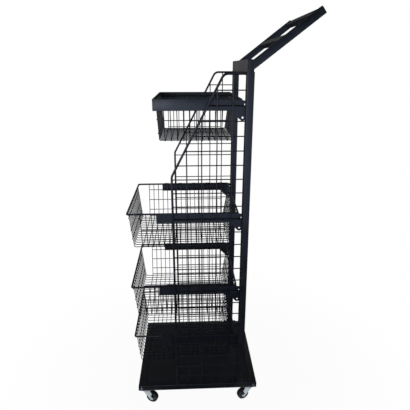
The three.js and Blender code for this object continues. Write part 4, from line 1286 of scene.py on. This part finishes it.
@dataclass
class WireBody:
    """The wire of a basket or of the bin.

    Long wires run down the front, along the bottom and up the back. Cross wires run up both leaning
    sides and under the long ones. Rows run across the walls, outside both.
    """

    front: float
    back: float
    rim: float
    top: float
    side_x: float
    first_cross: float
    last_cross: float
    depth: float
    front_taper: float
    back_taper: float
    foot_x: float
    bend: float
    long_wires: int
    cross_wires: int
    wall_rows: tuple[float, ...]
    side_rows: tuple[float, ...]
    wire: float = 3.0
    sides: int = 8
    bite: float = 0.7
    bend_steps: int = 5
    cross_bend: float = 6.0
    cross_bend_steps: int = 4
    cross_outset: float = 3.0
    row_overhang: float = 3.0
    weld: float = 1.9
    weld_flat: float = 1.25

    def __post_init__(self) -> None:
        """Works out where the wires stand."""
        self.layer = self.wire - self.bite
        self.floor = self.rim - self.depth
        self.run = self.top - self.floor
        self.front_foot = self.front + self.front_taper
        self.back_foot = self.back - self.back_taper
        self.spread = np.linspace(-self.foot_x, self.foot_x, self.long_wires)
        self.places = np.linspace(self.first_cross, self.last_cross, self.cross_wires)

    def crossings(self, shell: Shell, places: np.ndarray, normal: int) -> None:
        """Adds weld nuggets where wires cross.

        Args:
            shell: the shell to add to.
            places: the crossings, one a row.
            normal: the number of the axis that the nuggets are flat along.
        """
        reach = np.full(3, self.weld)
        reach[normal] = self.weld_flat
        shell.repeat(nugget(reach), places)

    def straight_row(self, start: np.ndarray, end: np.ndarray) -> Form:
        """A straight wire between two points."""
        return straight(start, end, UP, self.wire / 2, self.sides)

    def add_to(self, shell: Shell) -> None:
        """Adds every wire and nugget.

        Args:
            shell: the shell to add to.
        """
        self.length_wires(shell)
        self.end_rows(shell)
        self.cross_loops(shell)
        self.side_lines(shell)

    def length_wires(self, shell: Shell) -> None:
        """The long wires, bent at the foot of the front and of the back wall.

        Args:
            shell: the shell to add to.
        """
        line = np.array([[0, self.front, self.top], [0, self.front_foot, self.floor],
                         [0, self.back_foot, self.floor], [0, self.back, self.top]])
        wire = bar(fillet(line, self.bend, self.bend_steps), RIGHT, self.wire / 2, self.sides)
        shell.repeat(wire, self.spread[:, None] * RIGHT)

    def end_rows(self, shell: Shell) -> None:
        """The rows across the front and the back wall, outside the long wires.

        Args:
            shell: the shell to add to.
        """
        heights = self.rim - np.array(self.wall_rows)
        share = (self.top - heights) / self.run
        fronts = np.column_stack([0 * heights, self.front + self.front_taper * share - self.layer, heights])
        backs = np.column_stack([0 * heights, self.back - self.back_taper * share + self.layer, heights])
        reach = (self.foot_x + self.row_overhang) * RIGHT
        shell.repeat(self.straight_row(-reach, reach), np.vstack([fronts, backs]))
        for ends in (fronts + [0, self.layer / 2, 0], backs - [0, self.layer / 2, 0]):
            grid = (ends[:, None] + self.spread[None, :, None] * RIGHT).reshape(-1, 3)
            self.crossings(shell, grid, 1)

    def cross_loops(self, shell: Shell) -> None:
        """The cross wires: up one side, under the long wires and up the other side.

        Args:
            shell: the shell to add to.
        """
        low = self.floor - self.layer
        corner = self.foot_x + self.cross_outset
        line = np.array([[-self.side_x, 0, self.top], [-corner, 0, low], [corner, 0, low],
                         [self.side_x, 0, self.top]])
        wire = bar(fillet(line, self.cross_bend, self.cross_bend_steps), BACK, self.wire / 2, self.sides)
        shell.repeat(wire, self.places[:, None] * BACK)
        flat = (self.places > self.front_foot + self.bend) & (self.places < self.back_foot - self.bend)
        x, y = (grid.ravel() for grid in np.meshgrid(self.spread[1:-1], self.places[flat]))
        self.crossings(shell, np.column_stack([x, y, np.full(x.size, self.floor - self.layer / 2)]), 2)

    def side_lines(self, shell: Shell) -> None:
        """The rows along both sides, outside the cross wires.

        Args:
            shell: the shell to add to.
        """
        heights = self.rim - np.array(self.side_rows)
        low = self.floor - self.layer
        lean = (self.side_x - self.foot_x - self.cross_outset) / (self.top - low)
        places = self.side_x - lean * (self.top - heights)
        half = self.wire / 2
        row = self.straight_row((self.first_cross - half) * BACK, (self.last_cross + half) * BACK)
        x, z = np.repeat(places, self.cross_wires), np.repeat(heights, self.cross_wires)
        y = np.tile(self.places, len(heights))
        for sign in (-1, 1):
            shell.repeat(row, np.column_stack([sign * (places + self.layer), 0 * heights, heights]))
            self.crossings(shell, np.column_stack([sign * (x + self.layer / 2), y, z]), 0)


@dataclass
class Basket:
    """A wire basket: a rim rod with a wire body welded under it, and a bracket at each side."""

    level: Level
    rim_rod: float = 7.0
    corner: float = 8.0
    wire_bite: float = 0.6
    side_inset: float = 1.9
    from_front: float = 47.0
    from_back: float = 28.0
    depth: float = 145.0
    front_taper: float = 16.0
    back_taper: float = 25.0
    foot_x: float = 157.5
    bend: float = 5.0
    long_wires: int = 16
    cross_wires: int = 17
    wall_rows: tuple[float, ...] = (28.0, 77.0, 112.0)
    side_rows: tuple[float, ...] = (25.0, 68.5, 112.0, 140.0)
    bracket_rise: float = 2.0
    arm_height: float = 35.0
    gusset: float = 46.5
    foot_drop: float = 56.2
    stitches: int = 5
    stitch_length: float = 18.0
    stitch_radius: float = 1.3
    stitch_gap: float = 0.4
    stitch_rise: float = 2.6
    first_stitch: float = 20.0
    last_stitch: float = 45.0

    def build(self) -> None:
        """Makes the rim, the wire body and both brackets."""
        name = f"basket_{self.level.value}"
        low, high = box_of(f"{name}_rim")
        half = self.rim_rod / 2
        self.height = (low[2] + high[2]) / 2
        self.rim_x = high[0] - half
        self.front, self.back = low[1] + half, high[1] - half
        self.rim(name)
        self.body(name)
        for side in Side:
            self.bracket(side, name)

    def rim(self, name: str) -> None:
        """The rim rod, butt welded at the middle of its back.

        The seam is turned from (radius, height) points about the rod.

        Args:
            name: the basket's name in the frame.
        """
        corners = np.array([[-self.rim_x, self.front, self.height], [self.rim_x, self.front, self.height],
                            [self.rim_x, self.back, self.height], [-self.rim_x, self.back, self.height]])
        shell = Shell()
        ring = fillet(corners, self.corner, 10, closed=True)
        shell.add(*sweep(ring, UP, circle(self.rim_rod / 2, 18), closed=True))
        seam = np.array([[3.4, -1.6], [3.85, -0.9], [3.95, 0], [3.85, 0.9], [3.4, 1.6]])
        shell.add(*turned(lathe(seam, 24), BACK, UP, point(0, self.back, self.height)))
        keep(shell.mesh(f"{self.level.value}_basket_rim"), RACK, Slot.WIRE, [WIRE_COAT], f"{name}_rim")

    def body(self, name: str) -> None:
        """The wire body, with its wires' ends welded to the rim rod.

        Args:
            name: the basket's name in the frame.
        """
        wires = WireBody(
            front=self.front, back=self.back, rim=self.height, top=self.height - self.rim_rod / 2 + self.wire_bite,
            side_x=self.rim_x - self.side_inset, first_cross=self.front + self.from_front,
            last_cross=self.back - self.from_back, depth=self.depth, front_taper=self.front_taper,
            back_taper=self.back_taper, foot_x=self.foot_x, bend=self.bend, long_wires=self.long_wires,
            cross_wires=self.cross_wires, wall_rows=self.wall_rows, side_rows=self.side_rows)
        shell = Shell()
        wires.add_to(shell)
        keep(shell.mesh(f"{self.level.value}_basket_wires"), RACK, Slot.WIRE, [WIRE_COAT], f"{name}_mesh",
             f"{name}_side_left", f"{name}_side_right")

    def bracket(self, side: Side, name: str) -> None:
        """A bracket at one side, and the stitch welds between it and the rim rod.

        Args:
            side: the rack's side.
            name: the basket's name in the frame.
        """
        label = f"{self.level.value}_arm_{side.word}"
        shape = Bracket(f"{name}_bracket_{side.word}", f"{label}_plate", rise=self.bracket_rise,
                        arm_height=self.arm_height, gusset=self.gusset, foot_drop=self.foot_drop)
        shape.build()
        face = shape.x - side.value * (shape.sheet / 2 + self.stitch_gap)
        shell = Shell()
        for place in np.linspace(shape.start + self.first_stitch, shape.end - self.last_stitch, self.stitches):
            for sign in (-1, 1):
                seat = point(face, place - self.stitch_length / 2, self.height + sign * self.stitch_rise)
                shell.add(*bead(seat, seat + self.stitch_length * BACK, UP, self.stitch_radius))
        keep(shell.mesh(f"{label}_welds"), RACK, Slot.SHEET, [SHEET_COAT])


@dataclass
class Bracket:
    """A sheet bracket: an arm with a sloping shoulder, a slanted edge down to a round foot, and two hooks."""

    source: str
    name: str
    rise: float
    arm_height: float
    gusset: float
    foot_drop: float
    sheet: float = 2.5
    foot_inset: float = 8.4
    foot_radius: float = 10.6
    shoulder_run: float = 14.0
    shoulder_drop: float = 4.0
    tab: float = 0.7
    hole: float = 7.0
    notch_depth: float = 4.0
    notch_height: float = 6.0
    hook_height: float = 12.0
    hook_lip: float = 6.0
    hook_bite: float = 3.0
    hook_drop: float = 6.5
    hook_pitch: float = 50.0
    wall: float = 2.0
    gap: float = 0.3
    edge: float = 0.5

    def __post_init__(self) -> None:
        """Reads the plate's place from the frame. Its level is the height that the hooks hang from."""
        low, high = box_of(self.source)
        self.x = (low[0] + high[0]) / 2
        self.start, self.top = low[1], high[2]
        self.behind = high[1] - self.hook_bite
        self.tip = high[1]
        self.end = self.behind - self.wall - 2 * self.gap
        self.level = self.top - self.rise

    def hook(self, drop: float) -> list[tuple[float, float, float]]:
        """A hook's corners behind the upright's front wall, from its lower edge up.

        Args:
            drop: how far it lies below the upper hook.

        Returns:
            Each corner's (y, z, radius).
        """
        upper = self.level - self.hook_drop - drop + self.hook_height / 2
        lower = upper - self.hook_height
        return [(self.behind, lower, 0.5), (self.behind, lower - self.hook_lip, 0.6),
                (self.tip, lower - self.hook_lip, 1.0), (self.tip, upper, 1.6)]

    def foot(self, corner: np.ndarray, centre: np.ndarray) -> np.ndarray:
        """The foot's edge: a circle from where the slanted edge touches it, round to the back edge.

        The slanted edge leaves the corner at the angle to the centre less asin(radius / distance),
        and touches the circle a quarter turn back from its own direction.

        Args:
            corner: where the slanted edge leaves the arm.
            centre: the foot's centre.

        Returns:
            The edge's points.
        """
        to_centre = centre - corner
        slant = math.atan2(to_centre[1], to_centre[0]) - math.asin(self.foot_radius / np.linalg.norm(to_centre))
        last = -math.acos(self.foot_inset / self.foot_radius)
        angle = np.linspace(slant - math.pi / 2, last, 13)[:-1]
        return centre + self.foot_radius * np.column_stack([np.cos(angle), np.sin(angle)])

    def build(self) -> None:
        """Makes the plate with its hooks, notch and hole."""
        bottom = self.top - self.arm_height
        corner = np.array([self.end - self.gusset, bottom])
        centre = np.array([self.end - self.foot_inset, self.level - self.foot_drop])
        upper_hook, lower_hook = self.hook(0.0), self.hook(self.hook_pitch)
        notch = upper_hook[0][1]
        inner = self.end - self.notch_depth
        shoulder = self.top - self.shoulder_drop * (1 - self.tab / self.shoulder_run)
        shape = outline([
            (self.start, self.top, 2.5), (self.start, bottom, 2.5), (*corner, 4.0),
            *[(y, z, 0.0) for y, z in self.foot(corner, centre)],
            (self.end, lower_hook[0][1], 0.0), *lower_hook, (self.end, lower_hook[-1][1], 0.6),
            (self.end, notch - self.notch_height, 0.8), (inner, notch - self.notch_height, 1.2),
            (inner, notch, 1.2), *upper_hook, (self.end - self.tab, upper_hook[-1][1], 0.3),
            (self.end - self.tab, shoulder, 0.3), (self.end - self.shoulder_run, self.top, 3.0),
        ])
        shell = Shell()
        shell.add(*standing([shape, around(centre, self.hole / 2)], self.sheet, self.x))
        keep(soften(shell.mesh(self.name), self.edge), RACK, Slot.SHEET, [SHEET_COAT], self.source)


@dataclass
class TopBin:
    """The top bin: a sheet band, a rod inside it and a wire body that hangs from the rod."""

    band_sheet: float = 1.5
    band_height: float = 38.0
    band_corner: float = 4.0
    band_edge: float = 0.6
    rod: float = 6.0
    rod_drop: float = 16.0
    rod_corner: float = 6.0
    rod_gap: float = 0.2
    wire_seat: float = 1.15
    from_front: float = 36.0
    from_back: float = 42.0
    depth: float = 144.0
    front_taper: float = 8.0
    back_taper: float = 16.0
    foot_x: float = 147.0
    bend: float = 5.0
    long_wires: int = 15
    cross_wires: int = 11
    wall_rows: tuple[float, ...] = (72.0, 120.0)
    side_rows: tuple[float, ...] = (72.0, 139.0)
    arm_height: float = 36.0
    gusset: float = 51.0
    foot_drop: float = 58.5

    def build(self) -> None:
        """Makes the band, the wire body and both brackets."""
        low, high = box_of("bin_band")
        self.top = high[2]
        self.half_width = high[0]
        self.front, self.back = low[1], high[1]
        self.band()
        self.body()
        for side in Side:
            self.bracket(side)

    def band(self) -> None:
        """The band: a thin section with round edges, carried round the bin's rim."""
        t = self.band_sheet / 2
        x, z = self.half_width - t, self.top - self.band_height / 2
        corners = np.array([[-x, self.front + t, z], [x, self.front + t, z], [x, self.back - t, z],
                            [-x, self.back - t, z]])
        path = fillet(corners, self.band_corner - t, 8, closed=True)
        section = rounded_rectangle(self.band_height, self.band_sheet, self.band_edge, 4)
        shell = Shell()
        shell.add(*sweep(path, UP, section, closed=True))
        keep(shell.mesh("bin_sheet_band"), RACK, Slot.SHEET, [SHEET_COAT], "bin_band")

    def body(self) -> None:
        """The rod inside the band and the wire body that hangs from it."""
        half = self.rod / 2
        inset = self.band_sheet + self.rod_gap + half
        z = self.top - self.rod_drop
        x = self.half_width - inset
        corners = np.array([[-x, self.front + inset, z], [x, self.front + inset, z], [x, self.back - inset, z],
                            [-x, self.back - inset, z]])
        shell = Shell()
        ring = fillet(corners, self.rod_corner, 8, closed=True)
        shell.add(*sweep(ring, UP, circle(half, 16), closed=True))
        wall = half + self.wire_seat
        wires = WireBody(
            front=self.front + inset + wall, back=self.back - inset - wall, rim=self.top, top=z + half,
            side_x=x - wall, first_cross=self.front + self.from_front, last_cross=self.back - self.from_back,
            depth=self.depth, front_taper=self.front_taper, back_taper=self.back_taper, foot_x=self.foot_x,
            bend=self.bend, long_wires=self.long_wires, cross_wires=self.cross_wires, wall_rows=self.wall_rows,
            side_rows=self.side_rows)
        wires.add_to(shell)
        keep(shell.mesh("bin_wires"), RACK, Slot.WIRE, [WIRE_COAT], "bin_mesh", "bin_side_left", "bin_side_right")

    def bracket(self, side: Side) -> None:
        """The bracket at one side, with its arm against the band."""
        Bracket(f"bin_bracket_{side.word}", f"bin_arm_{side.word}_plate", rise=0.0, arm_height=self.arm_height,
                gusset=self.gusset, foot_drop=self.foot_drop).build()


@dataclass
class SignFrame:
    """The sign frame and the tube that ties the uprights' tops."""

    wall: float = 1.5
    edge_radius: float = 2.2
    inner_radius: float = 0.7
    level_radius: float = 1.8
    plate_edge: float = 0.5
    arm: tuple[float, float] = (20.0, 25.0)
    bar_size: tuple[float, float] = (25.0, 20.0)
    angle: float = math.radians(37.2)
    arm_length: float = 278.0
    arm_drop: float = 23.0
    mid_bar: float = 139.5
    lid_chamfer: float = 0.5
    lid_taper: float = 0.97
    plug_depth: float = 6.0
    plug_inset: float = 0.4
    plug_taper: float = 0.9
    weld: float = 1.6
    level_weld: float = 1.5
    level_weld_inset: float = 0.6
    level_weld_sink: float = 0.2
    weld_margin: float = 2.0

    def build(self) -> None:
        """Makes the legs, arms, bars, plate and top rail."""
        low, _ = box_of("sign_side_right")
        leg_low, leg_high = box_of("sign_low_bar")
        self.leg_y = (leg_low[1] + leg_high[1]) / 2
        self.leg_depth = leg_high[1] - leg_low[1]
        self.leg_top, self.leg_foot = leg_high[2], low[2]
        self.start = point(0, self.leg_y, self.leg_top - self.arm_drop)
        self.along = point(0, math.cos(self.angle), math.sin(self.angle))
        for side in Side:
            self.one_side(side)
        self.cross_bar("sign_mid_bar", "sign_frame_middle_bar", self.mid_bar)
        self.cross_bar("sign_top_bar", "sign_frame_top_bar", self.arm_length - self.bar_size[0] / 2)
        self.level_bar("sign_low_bar", "sign_frame_low_bar")
        self.level_bar("top_rail", "top_tie_rail")
        face = softened_copy("sign_plate", "sign_front_plate", self.plate_edge)
        keep(face, RACK, Slot.SHEET, [SHEET_COAT], "sign_plate")

    def one_side(self, side: Side) -> None:
        """A leg with a closed top and an arm cut to lie against its back.

        The arm's near points slide along it until they lie in the plane of the leg's back.

        Args:
            side: the rack's side.
        """
        source = f"sign_side_{side.word}"
        low, high = box_of(source)
        x, width = (low[0] + high[0]) / 2, high[0] - low[0]
        shell = Shell()
        outer = rounded_rectangle(width, self.leg_depth, self.edge_radius, 4)
        inner = rounded_rectangle(width - 2 * self.wall, self.leg_depth - 2 * self.wall, self.inner_radius, 4)
        path = np.array([[x, self.leg_y, self.leg_foot], [x, self.leg_y, self.leg_top - self.wall]])
        shell.add(*hollow(path, RIGHT, outer, inner))
        rises = np.array([0, self.wall - self.lid_chamfer, self.wall])
        shell.add(*sweep(path[1] + rises[:, None] * UP, RIGHT, outer, np.array([1, 1, self.lid_taper])))
        outer = rounded_rectangle(*self.arm, self.edge_radius, 5)
        inner = rounded_rectangle(self.arm[0] - 2 * self.wall, self.arm[1] - 2 * self.wall, self.inner_radius, 5)
        start = self.start + x * RIGHT
        end = start + self.along * self.arm_length
        form, faces = hollow(np.array([start, end]), RIGHT, outer, inner)
        near = (form - start) @ self.along < self.arm_length / 2
        back = self.leg_y + self.leg_depth / 2
        form[near] += ((back - form[near, 1]) / self.along[1])[:, None] * self.along
        shell.add(form, faces)
        depths = np.array([self.plug_depth, 2 * self.plug_inset, self.plug_inset])
        plug = sweep(end - depths[:, None] * self.along, RIGHT, inner, np.array([1, 1, self.plug_taper]))
        shell.add(*plug, finish=1)
        keep(shell.mesh(f"sign_leg_and_arm_{side.word}"), RACK, Slot.FRAME, [TUBE_COAT, HUB], source)

    def cross_bar(self, source: str, name: str, distance: float) -> None:
        """A flat tube between the arms, with a weld bead along each end.

        Args:
            source: the bar's node.
            name: the piece's name.
            distance: how far up the arms it lies.
        """
        low, high = box_of(source)
        centre = self.start + self.along * distance
        left, right = centre + low[0] * RIGHT, centre + high[0] * RIGHT
        shell = Shell()
        shell.add(*box_tube(left, right, self.along, self.bar_size, self.wall, self.edge_radius))
        normal = np.cross(RIGHT, self.along)
        reach = self.along * (self.bar_size[0] / 2 - self.weld_margin)
        for end in (left, right):
            for sign in (-1, 1):
                seat = end + sign * normal * (self.bar_size[1] / 2)
                shell.add(*bead(seat - reach, seat + reach, normal, self.weld))
        keep(shell.mesh(name), RACK, Slot.FRAME, [TUBE_COAT], source)

    def level_bar(self, source: str, name: str) -> None:
        """A level tube between the legs or the uprights, with a weld bead at each end.

        Args:
            source: the tube's node.
            name: the piece's name.
        """
        low, high = box_of(source)
        shell = Shell()
        shell.add(*level_tube(source, self.wall, self.level_radius))
        for x, inward in ((low[0], 1), (high[0], -1)):
            seat = point(x + inward * self.level_weld_inset, low[1], high[2] - self.level_weld_sink)
            reach = high[1] - low[1] - self.weld_margin
            shell.add(*bead(seat + self.weld_margin * BACK, seat + reach * BACK, UP, self.level_weld))
        keep(shell.mesh(name), RACK, Slot.FRAME, [TUBE_COAT], source)


# ---------------------------------------------------------------- studio


@dataclass
class Studio:
    """A pale floor and backdrop, soft lamps and the camera.

    The lamps, the camera and the reach of the floor's shadow are in metres.
    """

    lens: float = 34.63
    sensor: float = 36.0
    camera: tuple[float, float, float] = (1.5326, -0.10515, 1.3583)
    yaw: float = 0.045
    pitch: float = 0.336
    ambient: float = 0.25
    plain_white: float = 0.96
    floor_reach: float = 9000.0
    shadow_start: float = 0.3
    shadow_end: float = 1.2
    card_shift: float = 20.0
    card_half: float = 55.0
    card_height: float = 3.0

    def build(self) -> None:
        """Sets the view, the world, the floor, the flags, the cards, the lamps and the camera."""
        bpy.context.scene.view_settings.view_transform = "Standard"
        self.world()
        self.floor()
        self.flags()
        self.cards()
        self.lamp("front_lamp", (0.5, -3.0, 1.5), (0, 0, 0.9), 1.6, 14.0)
        self.lamp("right_front_lamp", (3.0, -1.0, 1.15), (0, 0, 1.0), 0.8, 15.0, "#e6ecff")
        self.view()

    def background_rays(self, tree: bpy.types.NodeTree) -> bpy.types.NodeSocket:
        """Adds the nodes that tell which rays see the plain background.

        Args:
            tree: the node tree to add to.

        Returns:
            A socket that is 1 for the camera, for mirrors and through glass, and 0 otherwise.
        """
        path = node(tree, "ShaderNodeLightPath").outputs
        seen = node(tree, "ShaderNodeMath", {"0": path["Is Camera Ray"], "1": path["Is Glossy Ray"]},
                    operation="MAXIMUM")
        seen = node(tree, "ShaderNodeMath", {"0": seen.outputs[0], "1": path["Is Transmission Ray"]},
                    operation="MAXIMUM")
        return seen.outputs[0]

    def world(self) -> None:
        """A white surround for the camera and in reflections, and a plain level of light for the rest."""
        world = bpy.data.worlds.new("pale_surround")
        bpy.context.scene.world = world
        world.use_nodes = True
        tree = world.node_tree
        back = tree.nodes["Background"]
        back.inputs["Color"].default_value = linear("#ffffff")
        level = node(tree, "ShaderNodeMapRange", {"Value": self.background_rays(tree)}, in_To_Min=self.ambient,
                     in_To_Max=1.0)
        tree.links.new(level.outputs["Result"], back.inputs["Strength"])

    def floor(self) -> None:
        """A matt floor sheet that shows white to the camera and keeps a soft shadow near the rack.

        The share of plain white rises from its near value to 1 with the distance from the rack.
        """
        sheet = self.sheet("floor", point(0, 0, 0), self.floor_reach * RIGHT, self.floor_reach * BACK)
        made, tree, shader = blank("matt_white_floor")
        shader.inputs["Base Color"].default_value = linear("#f4f4f4")
        shader.inputs["Roughness"].default_value = 0.9
        shader.inputs["Specular IOR Level"].default_value = 0.1
        places = node(tree, "ShaderNodeTexCoord").outputs["Object"]
        away = node(tree, "ShaderNodeVectorMath", {"0": places}, operation="LENGTH")
        white = node(tree, "ShaderNodeMapRange", {"Value": away.outputs["Value"]}, interpolation_type="SMOOTHSTEP",
                     in_From_Min=self.shadow_start, in_From_Max=self.shadow_end, in_To_Min=self.plain_white,
                     in_To_Max=1.0)
        share = node(tree, "ShaderNodeMath", {"0": self.background_rays(tree), "1": white.outputs["Result"]},
                     operation="MULTIPLY")
        glow = node(tree, "ShaderNodeEmission", in_Color=linear("#ffffff"), in_Strength=1.0)
        mix = node(tree, "ShaderNodeMixShader",
                   {"0": share.outputs[0], "1": shader.outputs[0], "2": glow.outputs[0]})
        tree.links.new(mix.outputs[0], tree.nodes["Material Output"].inputs["Surface"])
        sheet.data.materials.append(made)

    def sheet(self, name: str, centre: np.ndarray, half_u: np.ndarray, half_v: np.ndarray) -> bpy.types.Object:
        """A flat sheet of the studio.

        Args:
            name: its name.
            centre: its centre.
            half_u: half of one side, as a direction and a length.
            half_v: half of the other side.

        Returns:
            The sheet, declared as stage.
        """
        shell = Shell()
        corners = np.array([centre - half_u - half_v, centre + half_u - half_v, centre + half_u + half_v,
                            centre - half_u + half_v])
        shell.add(corners, [np.array([[0, 1, 2, 3]])])
        made = shell.mesh(name)
        return made

    def flags(self) -> None:
        """Black flags that only reflections see, as round any shiny black object in a studio."""
        made, _, shader = blank("matt_black_cloth")
        shader.inputs["Base Color"].default_value = linear("#000000")
        shader.inputs["Roughness"].default_value = 1.0
        shader.inputs["Specular IOR Level"].default_value = 0.0
        flags = (
            self.sheet("flag_low", point(-700, 0, 2), 3300 * RIGHT, 4000 * BACK),
            self.sheet("flag_right", point(4000, 0, 3050), 5000 * BACK, 2000 * UP),
            self.sheet("flag_left", point(-3000, 0, 3550), 6000 * BACK, 950 * UP),
            self.sheet("flag_left_low", point(-3900, 0, 480), 6000 * BACK, 480 * UP),
            self.sheet("flag_top", point(0, 0, 4200), 5000 * RIGHT, 5000 * BACK),
        )
        for flag in flags:
            flag.data.materials.append(made)
            self.only_mirrored(flag)

    def cards(self) -> None:
        """Cards for the coat to mirror, a sloping blue one and a tall grey one, and small ones for the casters."""
        slope = point(700, 0, 525)
        wide = self.sheet("card_right", slope + 2600 * RIGHT, slope, 5000 * BACK)
        self.light_card(wide, "pale_blue_card", "#c4d8ff", 1.4)
        tall = self.sheet("card_left", point(-3000, 0, 1780), 6000 * BACK, 820 * UP)
        self.light_card(tall, "grey_card", "#ffffff", 0.24)
        for end in ("front", "back"):
            for side in Side:
                low, high = box_of(f"caster_{end}_{side.word}_plate")
                centre = (low + high) / 2 + self.card_shift * RIGHT
                centre[2] = self.card_height
                card = self.sheet(f"card_{end}_{side.word}", centre, self.card_half * RIGHT, self.card_half * BACK)
                self.light_card(card, f"white_card_{end}_{side.word}", "#ffffff", 1.0)

    def light_card(self, sheet: bpy.types.Object, name: str, colour: str, strength: float) -> None:
        """Gives a sheet an even glow that only reflections see.

        Args:
            sheet: the sheet.
            name: its material's name.
            colour: the glow's sRGB hex colour.
            strength: the glow's strength.
        """
        made, tree, output = blank(name, "Material Output")
        glow = node(tree, "ShaderNodeEmission", in_Color=linear(colour), in_Strength=strength)
        tree.links.new(glow.outputs[0], output.inputs["Surface"])
        sheet.data.materials.append(made)
        self.only_mirrored(sheet)

    def only_mirrored(self, sheet: bpy.types.Object) -> None:
        """Leaves a sheet to be seen in reflections alone.

        Args:
            sheet: the sheet.
        """
        sheet.visible_camera = False
        sheet.visible_diffuse = False
        sheet.visible_shadow = False
        sheet.visible_transmission = False

    def lamp(self, name: str, place: tuple[float, float, float], target: tuple[float, float, float], size: float,
             power: float, colour: str = "#ffffff") -> None:
        """A square soft lamp.

        Args:
            name: its name.
            place: where it stands.
            target: what it points at.
            size: its side.
            power: its power in watts.
            colour: its sRGB hex colour.
        """
        data = bpy.data.lights.new(name, "AREA")
        data.shape = "SQUARE"
        data.size = size
        data.energy = power
        data.color = linear(colour)[:3]
        made = bpy.data.objects.new(name, data)
        made.location = place
        made.rotation_euler = (Vector(target) - Vector(place)).to_track_quat("-Z", "Y").to_euler()
        bpy.context.scene.collection.objects.link(made)

    def view(self) -> None:
        """The camera, at the photograph's place and angle.

        It looks along (-cos yaw cos pitch, sin yaw cos pitch, -sin pitch).
        """
        data = bpy.data.cameras.new("view")
        data.lens = self.lens
        data.sensor_width = self.sensor
        made = bpy.data.objects.new("view", data)
        made.location = self.camera
        ahead = Vector((-math.cos(self.yaw) * math.cos(self.pitch), math.sin(self.yaw) * math.cos(self.pitch),
                        -math.sin(self.pitch)))
        made.rotation_euler = ahead.to_track_quat("-Z", "Y").to_euler()
        bpy.context.scene.collection.objects.link(made)
        bpy.context.scene.camera = made


def main() -> None:
    logging.basicConfig(level=logging.INFO, format="%(name)s: %(message)s")
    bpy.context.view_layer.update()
    Studio().build()
    Base().build()
    for end in ("front", "back"):
        for side in Side:
            Caster(end, side).build()
    for side in Side:
        Upright(side).build()
        SidePanel(side).build()
    for level in Level:
        Basket(level).build()
    TopBin().build()
    SignFrame().build()


if __name__ == "__main__":
    main()
